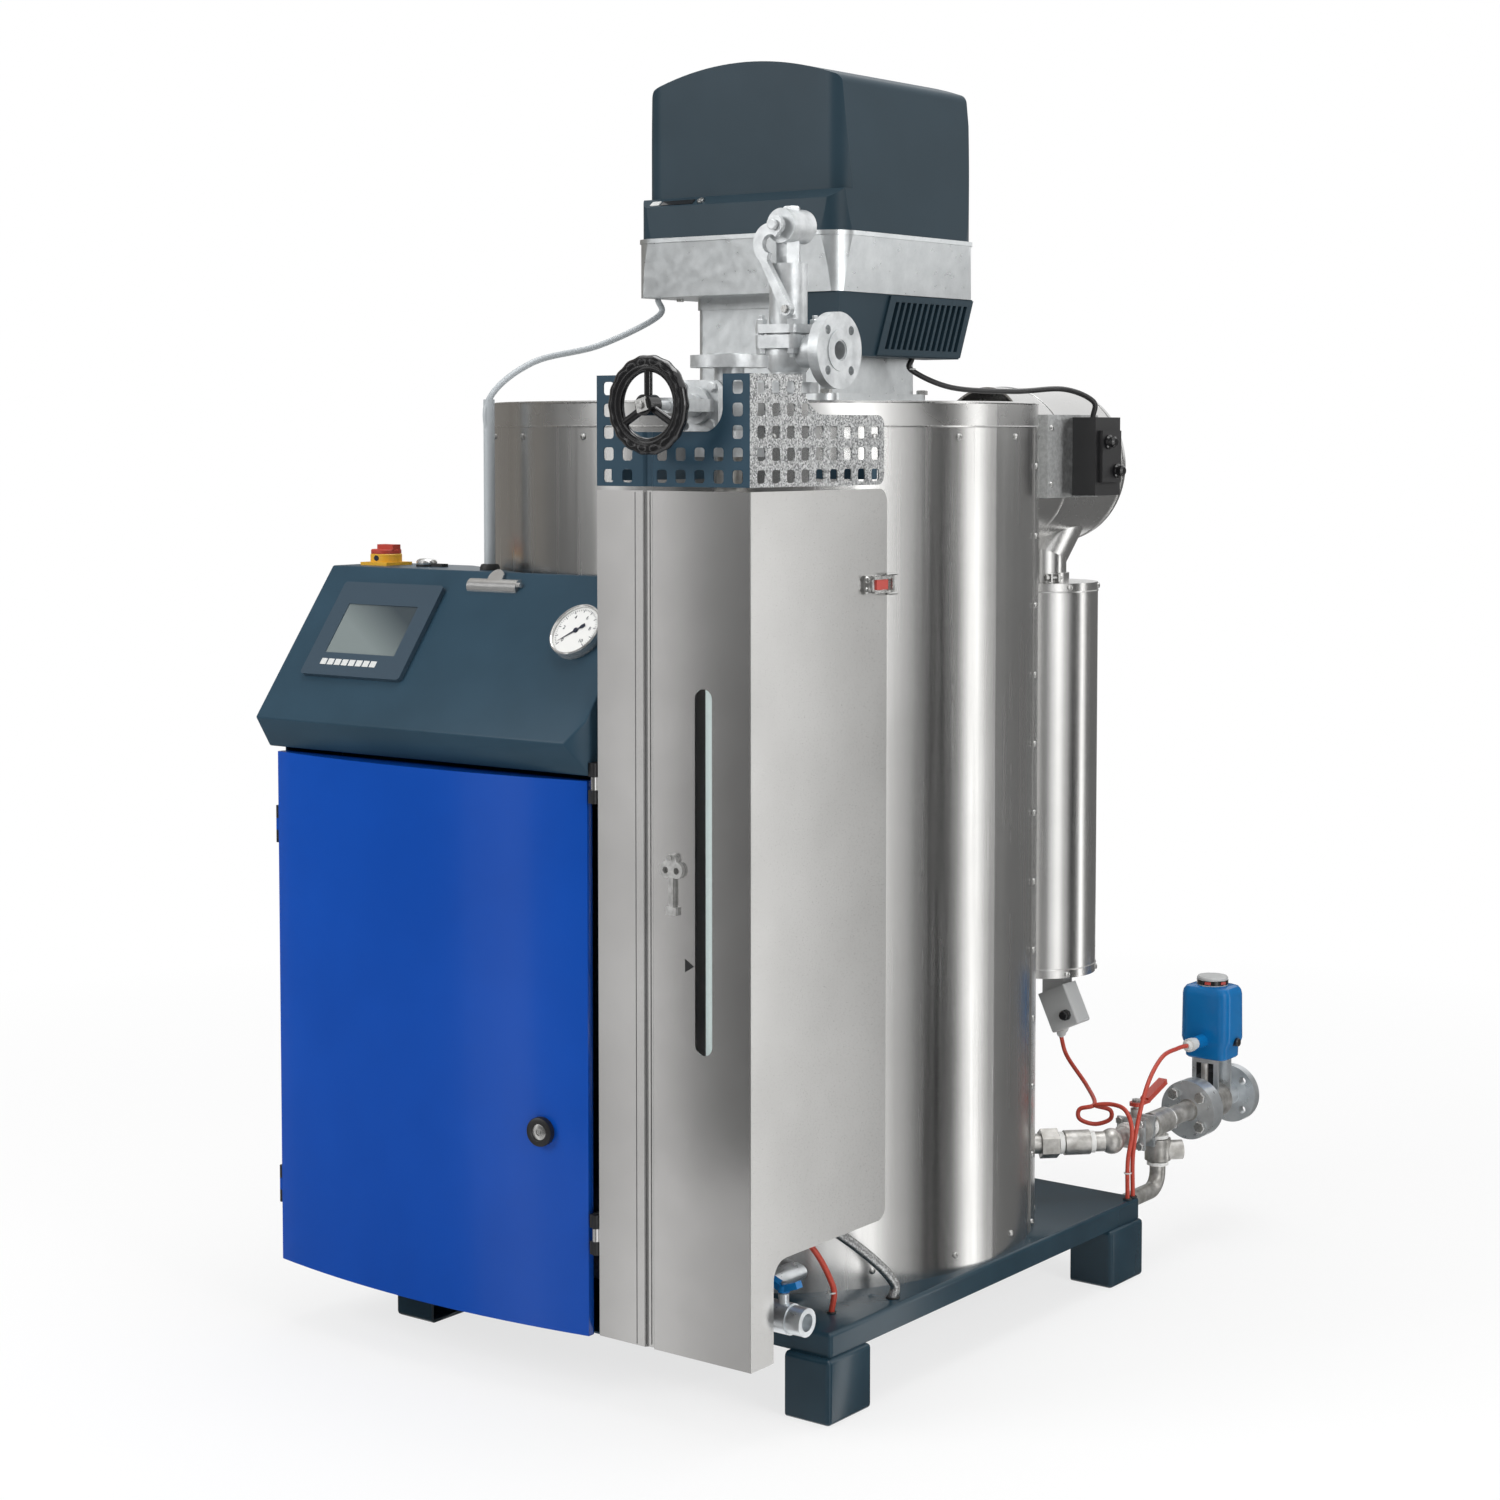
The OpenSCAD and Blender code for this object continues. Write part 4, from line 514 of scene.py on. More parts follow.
scatter("plate_bolts", "boiler", zinc_screw, hex_head, plate_bolts)


# Stop valve and safety valve: castings under aluminium paint with a grainy skin, their
# joints drawn up by plated bolts; the handwheel is cast and stove-enamelled black.
silver_paint, nodes, links, shader = principled("silver_paint", (0.60, 0.62, 0.63), 0.55, 0.38)
tint(nodes, links, shader, grain(nodes, links, 40.0, detail=5.0), (0.50, 0.52, 0.53), (0.68, 0.70, 0.71))
sheen(nodes, links, shader, grain(nodes, links, 90.0), 0.30, 0.46)
relief(nodes, links, shader, grain(nodes, links, 260.0, detail=3.0), 0.4, 0.0007)
dress(silver_paint, "steam_valve", "safety_valve", "lift_lever")
black_enamel, nodes, links, shader = principled("black_enamel", (0.007, 0.007, 0.008), 0.0, 0.16, coat=0.5)
relief(nodes, links, shader, grain(nodes, links, 70.0), 0.2, 0.0009)
dress(black_enamel, "handwheel")

valve_x = 284.5
valve_z = 1486
safety_x = 269
safety_y = -305
valve_bolts = [
    (spot(valve_x + sx * 27, -547, valve_z + sz * 27), (0, -1, 0))
    for sx in (-1, 1) for sz in (-1, 1)
]
small_hex = turned([(7.5, -0.5), (7.5, 5.0), (6.4, 6.0), (3.0, 6.1)], 6, origin, (0, 0, 1))
scatter("bonnet_bolts", "boiler", silver_paint, small_hex, valve_bolts)
gland_nuts = [(spot(valve_x + sx * 18, -556, valve_z), (0, -1, 0)) for sx in (-1, 1)]
stud_nut = turned(
    [(8.5, -0.5), (8.5, 7.5), (7.2, 8.6), (4.6, 8.6), (4.6, 13.5), (3.8, 14.5)], 6, origin, (0, 0, 1)
)
scatter("gland_nuts", "boiler", silver_paint, stud_nut, gland_nuts)
joint_studs = []
for sx in (-1, 1):
    for sy in (-1, 1):
        joint_studs.append((spot(safety_x + sx * 29, safety_y + sy * 29, 1610), (0, 0, 1)))
        joint_studs.append((spot(safety_x + sx * 29, safety_y + sy * 29, 1574), (0, 0, -1)))
scatter("joint_nuts", "boiler", silver_paint, stud_nut, joint_studs)
studs = [
    turned([(4.4, 0), (4.4, 38)], 12, spot(safety_x + sx * 29, safety_y + sy * 29, 1573), (0, 0, 1))
    for sx in (-1, 1) for sy in (-1, 1)
]
gasket = turned([(33, 0), (33, 5)], 40, spot(safety_x, safety_y, 1593), (0, 0, 1))
cap_face = turned([(22, -0.5), (22, 2), (20, 3), (6, 3)], 40, spot(275, -276, 1758), (0, 1, 0))
cap_top = turned([(14, -3), (14, 3), (11, 5)], 6, spot(275, -305, 1783), (0, 0, 1))
face_profile = [(31, -0.5), (31, 2), (16, 2), (16, -0.5)]
raised_face = turned(face_profile, 48, spot(364, safety_y, 1570), (1, 0, 0), closed=True)
top_face = turned(face_profile, 48, spot(valve_x, -472, 1560), (0, 0, 1), closed=True)
add("valve_faces", "boiler", silver_paint, gasket, cap_face, cap_top, raised_face, top_face, *studs)
pin_nut = turned([(8, -2), (8, 3), (6.5, 4.5)], 24, spot(275, -353, 1758), (0, -1, 0))
add("lever_pin_head", "boiler", silver_paint, pin_nut)
lever_bolt = turned([(6.5, -0.5), (6.5, 3.5), (5.4, 4.5)], 6, spot(296, -350, 1632), (0, -1, 0))
add("lever_bolt", "lever", zinc_screw, lever_bolt)
grip_points = []
grip_turns = 96
grip_sides = 16
for k in range(grip_turns):
    turn = 2 * math.pi * k / grip_turns
    out = Vector((math.cos(turn), 0, math.sin(turn)))
    grip = 9.2 + 0.7 * math.cos(18 * turn)
    for j in range(grip_sides):
        lean = 2 * math.pi * j / grip_sides
        step = out * (61.5 + grip * math.cos(lean)) + Vector((0, -1, 0)) * grip * math.sin(lean)
        grip_points.append(spot(valve_x, -660, valve_z) + step / 1000)
grip_faces = []
for k in range(grip_turns):
    here = k * grip_sides
    there = (k + 1) % grip_turns * grip_sides
    for j in range(grip_sides):
        after = (j + 1) % grip_sides
        grip_faces.append((here + j, there + j, there + after, here + after))
add("wheel_grip", "wheel", black_enamel, (grip_points, grip_faces))
hub_nut = slab(spot(valve_x, -672, valve_z), (0.96, 0, 0.28), (-0.28, 0, 0.96), 19, 19, -1, 5)
hub_end = turned([(5, 0), (5, 8), (4, 9)], 20, spot(valve_x, -672, valve_z), (0, -1, 0))
add("wheel_nut", "wheel", zinc_screw, hub_nut, hub_end)


# Valve guard: slate powder-coated sheet at the front, with a fine orange-peel skin, and a
# side leaf of the same sheet drawn as light speckled metal: painted glints of its textured
# paint. Both are punched with rounded holes and screwed to brackets.
slate_coat, nodes, links, shader = principled("slate_coat", (0.022, 0.054, 0.083), 0.0, 0.36, specular=0.22)
tint(nodes, links, shader, grain(nodes, links, 7.0), (0.020, 0.050, 0.077), (0.024, 0.058, 0.089))
relief(nodes, links, shader, grain(nodes, links, 900.0, detail=1.0), 0.25, 0.0002)
# The side leaf's light, speckled colour is painted glints of the slate paint, not a bare metal finish.
painted_glint_speckle, nodes, links, shader = principled("painted_glint_speckle", (0.55, 0.56, 0.56), 1.0, 0.40)
glint_flakes = nodes.new("ShaderNodeTexVoronoi")
glint_flakes.inputs["Scale"].default_value = 420.0
place = nodes.new("ShaderNodeTexCoord")
links.new(place.outputs["Object"], glint_flakes.inputs["Vector"])
split = nodes.new("ShaderNodeSeparateColor")
links.new(glint_flakes.outputs["Color"], split.inputs["Color"])
tint(nodes, links, shader, split.outputs["Red"], (0.20, 0.205, 0.21), (0.68, 0.69, 0.69), 0.10, 0.90)
sheen(nodes, links, shader, split.outputs["Green"], 0.36, 0.60)
dress(slate_coat, "guard_front", "guard_brackets")
dress(painted_glint_speckle, "guard_side")


# Service cover: satin stainless sheet folded round the corner, hung on two hinges and
# drawn shut by a plated toggle latch with a red tongue. A key hangs beside the slot.
satin_sheet, nodes, links, shader = principled("satin_sheet", (0.57, 0.565, 0.56), 1.0, 0.19)
tint(nodes, links, shader, grain(nodes, links, 5.0), (0.54, 0.535, 0.53), (0.60, 0.595, 0.59))
sheen(nodes, links, shader, grain(nodes, links, 700.0, detail=2.0), 0.17, 0.21)
relief(nodes, links, shader, grain(nodes, links, 1600.0, detail=1.0), 0.05, 0.0001)
dress(satin_sheet, "cover_front")
brushed_leaf, nodes, links, shader = principled("brushed_leaf", (0.53, 0.528, 0.52), 1.0, 0.29)
tint(nodes, links, shader, grain(nodes, links, 4.0), (0.50, 0.498, 0.49), (0.56, 0.558, 0.55))
sheen(nodes, links, shader, grain(nodes, links, 700.0, detail=2.0), 0.27, 0.31)
dress(brushed_leaf, "cover_side")
fold_shade, nodes, links, shader = principled("fold_shade", (0.15, 0.15, 0.15), 0.6, 0.4)
sheen(nodes, links, shader, grain(nodes, links, 60.0), 0.35, 0.45)
# Two thin dark strips at the edges of the cover's groove are painted shade.
groove_shade_strips = [slab(spot(x, -610, 737), (1, 0, 0), (0, 0, 1), 1.5, 1250, -0.3, 0.2) for x in (218.6, 238.4)]
add("groove_folds", "cover", fold_shade, *groove_shade_strips)
nickel, nodes, links, shader = principled("nickel", (0.62, 0.62, 0.61), 1.0, 0.22)
sheen(nodes, links, shader, grain(nodes, links, 120.0), 0.16, 0.30)
worn_nickel, nodes, links, shader = principled("worn_nickel", (0.60, 0.60, 0.59), 0.75, 0.30)
tint(nodes, links, shader, grain(nodes, links, 90.0, detail=5.0), (0.48, 0.48, 0.47), (0.72, 0.72, 0.71))
dress(nickel, "cover_latch", "cover_catch")
dress(worn_nickel, "cover_key")

red_insert, nodes, links, shader = principled("red_insert", (0.50, 0.06, 0.045), 0.0, 0.35)
relief(nodes, links, shader, grain(nodes, links, 500.0), 0.15, 0.0003)
latch_z = 1222
tongue = slab(spot(440, -305, latch_z), (0, 1, 0), (0, 0, 1), 30, 15, -1, 2.5)
add("latch_tongue", "cover", red_insert, tongue)
rails = [slab(spot(440, -303, latch_z + s * 10.5), (0, 1, 0), (0, 0, 1), 50, 3.5, -2, 4.5) for s in (-1, 1)]
bridge = slab(spot(440, -280, latch_z), (0, 1, 0), (0, 0, 1), 6, 24, -2, 5.5)
bows = [turned([(2, 0), (2, 30)], 10, spot(437, -288, latch_z + s * 14.5), (0, 1, 0)) for s in (-1, 1)]
add("latch_frame", "cover", nickel, bridge, *rails, *bows)
latch_rivets = [(spot(432, -331, latch_z + s * 8), (1, 0, 0)) for s in (-1, 1)]
scatter("latch_rivets", "cover", nickel, pan_head, latch_rivets)
level_mark, nodes, links, shader = principled("level_mark", (0.010, 0.010, 0.011), 0.0, 0.5)
relief(nodes, links, shader, grain(nodes, links, 900.0), 0.1, 0.0001)
mark = turned([(11, -0.2), (11, 0.4)], 3, spot(315, -610, 683), (0, -1, 0))
add("level_arrow", "cover", level_mark, mark)
key_hook = turned([(3, -1), (3, 9), (4.5, 9.5), (4.5, 11)], 16, spot(288, -610, 838), (0, -1, 0))
add("key_hook", "cover", nickel, key_hook)


# Level gauge: cast cocks on stubs from the jacket and a glass tube between their glands.
# A pale enamelled stripe inside the tube shows through the slot in the cover; its glow is painted light.
worn_pipe, nodes, links, shader = principled("worn_pipe", (0.42, 0.41, 0.39), 0.75, 0.40)
tint(nodes, links, shader, grain(nodes, links, 55.0, detail=6.0), (0.32, 0.31, 0.29), (0.54, 0.53, 0.51))
sheen(nodes, links, shader, grain(nodes, links, 80.0), 0.30, 0.48)
relief(nodes, links, shader, grain(nodes, links, 350.0), 0.3, 0.0003)
dress(worn_pipe, "gauge_cocks", "steam_pipe")
tube_glass, nodes, links, shader = principled("tube_glass", (0.82, 0.92, 0.90), 0.0, 0.04)
shader.inputs["Transmission Weight"].default_value = 0.85
sheen(nodes, links, shader, grain(nodes, links, 20.0), 0.03, 0.07)
dress(tube_glass, "gauge_glass")
enamel_painted_glow, nodes, links, shader = principled("enamel_painted_glow", (0.86, 0.88, 0.87), 0.0, 0.30)
# The stripe's emission is painted light: it glows though it is no lamp.
shader.inputs["Emission Color"].default_value = (0.86, 0.92, 0.92, 1.0)
shader.inputs["Emission Strength"].default_value = 0.45
sheen(nodes, links, shader, grain(nodes, links, 30.0), 0.25, 0.35)
add("glass_stripe", "boiler", enamel_painted_glow, turned([(5.6, 0), (5.6, 588)], 24, spot(323, -568, 521), (0, 0, 1)))


# Cabinet, its deep rear part and the console: folded sheet under the same slate powder
# coat as the base, on black moulded hinges. The plate inside is galvanised.
dress(slate_coat, "cabinet")
softened("console_skin", "boiler", slate_coat, 4.0, "console")
softened("rear_box_skin", "boiler", slate_coat, 4.0, "cabinet_rear_box")
zinc_plate, nodes, links, shader = principled("zinc_plate", (0.52, 0.53, 0.53), 1.0, 0.42)
patches = grain(nodes, links, 170.0, detail=2.0)
tint(nodes, links, shader, patches, (0.47, 0.48, 0.48), (0.57, 0.58, 0.58), 0.40, 0.60)
sheen(nodes, links, shader, grain(nodes, links, 90.0), 0.34, 0.50)
dress(zinc_plate, "mounting_plate", "controller_bracket")
black_moulding, nodes, links, shader = principled("black_moulding", (0.012, 0.012, 0.013), 0.0, 0.42)
relief(nodes, links, shader, grain(nodes, links, 900.0), 0.25, 0.0002)
dress(black_moulding, "cabinet_hinges", "door_lock", "controller_box")


# Cabinet door: bowed sheet in a deep, glossy blue enamel with the slow ripple of spraying.
# Its quarter-turn lock shows a plated insert in a black rosette.
blue_enamel, nodes, links, shader = principled(
    "blue_enamel", (0.002, 0.060, 0.36), 0.0, 0.22, coat=0.08, specular=0.22
)
tint(nodes, links, shader, grain(nodes, links, 3.0), (0.002, 0.056, 0.34), (0.003, 0.064, 0.38))
relief(nodes, links, shader, grain(nodes, links, 22.0, detail=1.0), 0.10, 0.0006)
softened("door_skin", "door", blue_enamel, 6.0, "cabinet_door")
lock_out = (0.1335, -0.991, 0.0)
lock_face = spot(46.2, -629.4, 404)
rosette = [(21.5, -0.5), (21.5, 1.5), (19.5, 2.6), (14.0, 2.6), (12.6, 1.0), (12.6, -0.5)]
add("lock_rosette", "door", black_moulding, turned(rosette, 48, lock_face, lock_out, closed=True))
insert = turned([(12.0, -0.5), (12.0, 0.8), (11.0, 1.3), (5.0, 1.3), (4.6, 0.2)], 40, lock_face, lock_out)
key_bit = slab(lock_face, (0.991, 0.1335, 0), (0, 0, 1), 5.4, 5.4, 0.0, 2.0)
add("lock_insert", "door", nickel, insert, key_bit)


# Console fittings: a framed touch screen over a row of plain keys, and a pressure gauge in
# a plated case with a printed scale. The numbers on the dial are plain figures.
slope_up = Vector((0, 175, 237)).normalized()
slope_out = Vector((0, -237, 175)).normalized()


def on_slope(x, v, height=0.0):
    """A point on the console's slope: along it, up from its nose, and over it."""
    return spot(x, -641, 992) + (slope_up * v + slope_out * height) / 1000


bezel, nodes, links, shader = principled("bezel", (0.034, 0.060, 0.086), 0.0, 0.32)
relief(nodes, links, shader, grain(nodes, links, 1500.0), 0.10, 0.0001)
dress(bezel, "touch_panel")
screen, nodes, links, shader = principled("screen", (0.15, 0.18, 0.18), 0.0, 0.14, specular=0.6)
# The screen's colour darkens towards its upper right: a painted reflection.
place = nodes.new("ShaderNodeTexCoord")
lean = nodes.new("ShaderNodeVectorMath")
lean.operation = "DOT_PRODUCT"
lean.inputs[1].default_value = (13.0, 0.0, 27.0)
links.new(place.outputs["Object"], lean.inputs[0])
middle = on_slope(-378, 170.9).dot(Vector((13.0, 0.0, 27.0)))
painted_reflection_fade = nodes.new("ShaderNodeMapRange")
painted_reflection_fade.inputs["From Min"].default_value = middle - 0.6
painted_reflection_fade.inputs["From Max"].default_value = middle + 1.6
links.new(lean.outputs["Value"], painted_reflection_fade.inputs["Value"])
tint(nodes, links, shader, painted_reflection_fade.outputs["Result"], (0.19, 0.225, 0.225), (0.045, 0.060, 0.070), 0.1, 0.9)
pane = slab(on_slope(-378, 170.9, 6), (1, 0, 0), slope_up, 152.4, 92.7, -0.4, 0.8)
add("touch_screen", "boiler", screen, pane)
keys = [
    slab(on_slope(-446.5 + 15.6 * k, 107, 8), (1, 0, 0), slope_up, 12.4, 11, -0.4, 0.5)
    for k in range(8)
]
add("panel_keys", "boiler", white_moulding, *keys)

bright_plate, nodes, links, shader = principled("bright_plate", (0.80, 0.80, 0.79), 0.80, 0.16)
sheen(nodes, links, shader, grain(nodes, links, 150.0), 0.12, 0.20)
dress(bright_plate, "pressure_gauge", "document_clip")
dial_white, nodes, links, shader = principled("dial_white", (0.82, 0.82, 0.80), 0.0, 0.45)
sheen(nodes, links, shader, grain(nodes, links, 40.0), 0.40, 0.50)
ink, nodes, links, shader = principled("ink", (0.006, 0.010, 0.030), 0.0, 0.4)
sheen(nodes, links, shader, grain(nodes, links, 60.0), 0.35, 0.45)
dial = on_slope(44, 188.5, 11)
add("gauge_dial", "boiler", dial_white, turned([(40.7, -0.4), (40.7, 0.3)], 72, dial, slope_out))
case_lip = turned(ring_profile(43.2, 2.0), 72, on_slope(44, 188.5, 13.8), slope_out, closed=True)
add("gauge_lip", "boiler", bright_plate, case_lip)


def figure(word, place, across, up, size):
    """A plain number in the built-in font, as flat faces on a plane."""
    curve = bpy.data.curves.new("figure", "FONT")
    curve.body = word
    curve.size = size / 1000
    curve.align_x = "CENTER"
    curve.align_y = "CENTER"
    curve.resolution_u = 3
    curve.extrude = 0.0001
    holder = bpy.data.objects.new("figure", curve)
    bpy.context.scene.collection.objects.link(holder)
    depsgraph = bpy.context.evaluated_depsgraph_get()
    mesh = bpy.data.meshes.new_from_object(holder.evaluated_get(depsgraph))
    over = across.cross(up)
    points = [place + across * v.co.x + up * v.co.y + over * v.co.z for v in mesh.vertices]
    faces = [tuple(face.vertices) for face in mesh.polygons]
    bpy.data.objects.remove(holder)
    bpy.data.curves.remove(curve)
    bpy.data.meshes.remove(mesh)
    return points, faces


def prism(outline, place, across, up, low, high):
    """A flat plate from an outline in its plane, given counter-clockwise."""
    across = Vector(across).normalized()
    up = Vector(up).normalized()
    over = across.cross(up)
    points = [place + (across * a + up * b + over * h) / 1000 for h in (low, high) for a, b in outline]
    count = len(outline)
    faces = [tuple(range(count - 1, -1, -1)), tuple(range(count, 2 * count))]
    faces += [(k, (k + 1) % count, (k + 1) % count + count, k + count) for k in range(count)]
    return points, faces


level_x = Vector((1, 0, 0))
printed = []
for step in range(51):
    turn = math.radians(225 - 5.4 * step)
    ray = level_x * math.cos(turn) + slope_up * math.sin(turn)
    length = 5.5 if step % 5 == 0 else 2.8
    wide = 1.2 if step % 5 == 0 else 0.6
    seat = dial + ray * (37.5 - length / 2) / 1000
    printed.append(slab(seat, ray.cross(slope_out), ray, wide, length, 0.1, 0.5))
    if step % 10 == 0:
        seat = dial + ray * 0.0255 + slope_out * 0.0005
        printed.append(figure(str(step // 5), seat, level_x, slope_up, 9.0))
add("gauge_scale", "boiler", ink, *printed)
aim = (level_x * math.cos(math.radians(218)) + slope_up * math.sin(math.radians(218))).normalized()
needle = [(0, 33), (-1.5, 0), (-1.2, -7), (-3.4, -11), (-2.8, -17)]
needle += [(-across, along) for across, along in reversed(needle[1:])]
hub = turned([(4.2, 0.3), (4.2, 2.0), (3.4, 2.6)], 24, dial, slope_out)
add("gauge_needle", "boiler", ink, prism(needle, dial, aim.cross(slope_out), aim, 1.0, 1.6), hub)


# Console top: the main switch in red and yellow moulding, with painted shade for its padlock
# hole, a push button with a pale cap in a rubber collar, and the grommet of the burner's conduit.
yellow_moulding, nodes, links, shader = principled("yellow_moulding", (0.76, 0.42, 0.030), 0.0, 0.36)
relief(nodes, links, shader, grain(nodes, links, 700.0), 0.15, 0.0002)
switch_seat = spot(-487, -399.7, 1229)
switch_plate = slab(switch_seat, (1, 0, 0), (0, 1, 0), 60, 60, -0.3, 5)
switch_drum = turned([(26, 4.5), (26, 17.5), (25, 18.6)], 48, switch_seat, (0, 0, 1))
add("switch_collar", "boiler", yellow_moulding, switch_plate, switch_drum, node=("switch_base",))
red_moulding, nodes, links, shader = principled("red_moulding", (0.46, 0.050, 0.030), 0.0, 0.38)
relief(nodes, links, shader, grain(nodes, links, 700.0), 0.15, 0.0002)
dress(red_moulding, "valve_lever")
knob_disc = turned([(25, 19), (25, 24.5), (24, 26)], 48, switch_seat, (0, 0, 1))
knob_bar = slab(spot(-481, -399.7, 1229), (1, 0, 0), (0, 1, 0), 36, 18, 25, 34)
add("switch_grip", "knob", red_moulding, knob_disc, knob_bar, node=("switch_knob",))
# A dark disc on the knob's side is painted shade standing for the padlock hole.
hole_way = Vector((0.10, -0.995, 0.0)).normalized()
hole_seat = spot(-487, -399.7, 1241) + hole_way * 0.026
add("padlock_hole", "boiler", ink, turned([(4.6, -1.0), (4.6, 0.6)], 20, hole_seat, hole_way))
dome = [(16.5, 3.5), (17, 5), (17, 8), (15.5, 10.5), (12, 12.3), (6, 13)]
button_cap = turned(dome, 40, spot(-395, -399.7, 1229), (0, 0, 1))
add("button_cap", "boiler", bright_plate, button_cap, node=("push_button",))
button_collar = turned([(17.5, -0.3), (17.5, 3), (15, 4)], 36, spot(-395, -399.7, 1229), (0, 0, 1))
button_tab = slab(spot(-367, -399.7, 1229), (1, 0, 0), (0, 1, 0), 26, 14, -0.3, 5)
boss_profile = [(16, -0.5), (16, 4), (14, 9), (10.5, 10), (9.2, -0.5)]
conduit_boss = turned(boss_profile, 36, spot(-230, -428, 1229), (0, 0, 1), closed=True)
add("console_rubbers", "boiler", rubber, button_collar, button_tab, conduit_boss)


# Flue drum, elbow and side vessel: the same bright sheet, rolled, with raised beads near
# the seams and small screws; a band clamp with a cross bolt holds the elbow.
dress(bright_sheet, "flue_drum", "flue_elbow", "side_vessel")
drum_bead = ring_profile(138.2, 1.4, 8)
beads = [turned(drum_bead, 120, spot(168, y, 1389), (0, 1, 0), closed=True) for y in (470, 655)]
vessel_bead = ring_profile(98.2, 1.3, 8)
beads += [turned(vessel_bead, 96, spot(213, 535, z), (0, 0, 1), closed=True) for z in (506, 1170)]
add("flue_beads", "boiler", bright_sheet, *beads)
vessel_screws = []
for heading in range(-150, 210, 60):
    way = Vector((math.cos(math.radians(heading)), math.sin(math.radians(heading)), 0.0))
    for z in (497, 1178):
        vessel_screws.append((spot(213, 535, z) + way * 0.098, way))
scatter("vessel_screws", "boiler", zinc_screw, pan_head, vessel_screws)
clamp_seat = Vector((0.8, -0.6, 0.0))
clamp_way = Vector((0.6, 0.8, 0.0))
clamp_middle = spot(213, 535, 1193)
clamp_lugs = []
for s in (-1, 1):
    lug_seat = clamp_middle + clamp_seat * 0.046 + clamp_way * s * 0.007
    clamp_lugs.append(slab(lug_seat, clamp_way, (0, 0, 1), 3, 14, 0, 15))
bolt_profile = [(6, -16), (6, -11), (3, -11), (3, 15)]
cross_bolt = turned(bolt_profile, 12, clamp_middle + clamp_seat * 0.054, clamp_way)
add("elbow_clamp", "boiler", zinc_screw, cross_bolt, *clamp_lugs)


# Terminal box and controller: pale grey mouldings and a black housing with round plugs, on
# plain brackets; knob, gland and screws are pressed or screwed on.
grey_moulding, nodes, links, shader = principled("grey_moulding", (0.50, 0.51, 0.51), 0.0, 0.42)
relief(nodes, links, shader, grain(nodes, links, 500.0), 0.2, 0.0002)
softened("terminal_skin", "boiler", grey_moulding, 4.0, "terminal_box")
box_knob = turned([(10, -0.5), (10, 5), (8, 6), (8, 13), (6.5, 14)], 8, spot(266, 538, 413), (0, -1, 0))
plugs = [
    turned([(12, -0.5), (12, 4), (9, 5), (9, 13), (6, 16)], 24, spot(453, y, z), (1, 0, 0))
    for y, z in ((343, 1432), (371, 1384))
]
add("box_knobs", "boiler", gloss_black, box_knob, *plugs)
box_gland_profile = [(10, 0), (10, 9), (8.5, 10), (8.5, 18), (5.5, 23)]
box_gland = turned(box_gland_profile, 12, spot(242.8, 570, 386.7), (-0.342, 0, -0.94))
case_gland_profile = [(5.5, -5), (9, 0), (12, 1), (12, 14), (10.6, 15), (10.6, 26)]
actuator_gland = turned(case_gland_profile, 12, spot(424.26, 698, 350), (0, 1, 0))
add("pale_glands", "boiler", white_moulding, box_gland, actuator_gland)
bracket_screws = [(spot(401, 247, z), (1, 0, 0)) for z in (1362, 1455)]
scatter("bracket_screws", "boiler", zinc_screw, pan_head, bracket_screws)


# Blowdown line: weathered steel pipe and fittings with white thread tape at the joints,
# zinc plated flanges and bolts, and a three-piece ball valve with a red lever.
dress(worn_pipe, "blowdown_pipe", "branch_line", "ball_valve")
plated, nodes, links, shader = principled("plated", (0.70, 0.73, 0.75), 0.88, 0.32)
tint(nodes, links, shader, grain(nodes, links, 30.0, detail=4.0), (0.62, 0.65, 0.67), (0.78, 0.81, 0.83))
sheen(nodes, links, shader, grain(nodes, links, 70.0), 0.26, 0.38)
dress(plated, "motor_valve", "drain_valve")
line_x = 424.264
line_z = 233
motor_y = 789.264
flange_skin = [(52.8, -0.3), (52.8, 17.8), (20, 17.8), (20, -0.3)]
pair_skin = turned(flange_skin, 64, spot(line_x, 698.264, line_z), (0, 1, 0), closed=True)
end_plates = [
    slab(spot(line_x, 510.26 + s * 17, line_z), (1, 0, 0), (0, 0, 1), 54, 54, -3, 3)
    for s in (-1, 1)
]
add("pair_flange", "boiler", plated, pair_skin, *end_plates)
big_hex = turned([(11, -0.5), (11, 7), (9.6, 8), (5, 8.2)], 6, origin, (0, 0, 1))
pair_bolts = []
for sx in (-1, 1):
    for sz in (-1, 1):
        pair_bolts.append((spot(line_x + sx * 26.5, 698, line_z + sz * 26.5), (0, -1, 0)))
        pair_bolts.append((spot(line_x + sx * 26.5, 734.3, line_z + sz * 26.5), (0, 1, 0)))
        pair_bolts.append((spot(valve_x + sx * 30.05, -472 + sz * 30.05, 1430), (0, 0, 1)))
scatter("flange_bolts", "boiler", zinc_screw, big_hex, pair_bolts)
body_bolts = []
for sx in (-1, 1):
    for sz in (-1, 1):
        body_bolts.append((spot(line_x + sx * 20, 490.3, line_z + sz * 20), (0, -1, 0)))
        body_bolts.append((spot(line_x + sx * 20, 530.3, line_z + sz * 20), (0, 1, 0)))
scatter("body_bolts", "boiler", zinc_screw, small_hex, body_bolts)
stem_nut = turned([(8.5, -0.3), (8.5, 4.5), (7.2, 5.5)], 6, spot(line_x, 510.264, 284), (0, 0, 1))
add("lever_nut", "cock_lever", zinc_screw, stem_nut)
band = [(18.6, 0), (18.6, 8), (15, 8), (15, 0)]
slant_way = Vector((1, 1, 0)).normalized()
slant_start = spot(0, 0, line_z)
tapes = [turned(band, 36, slant_start + slant_way * r / 1000, slant_way, closed=True) for r in (506, 561)]
tapes += [turned(band, 36, spot(line_x, y, line_z), (0, 1, 0), closed=True) for y in (467, 545, 551, 617)]
wide_band = [(radius + 3, height) for radius, height in band]
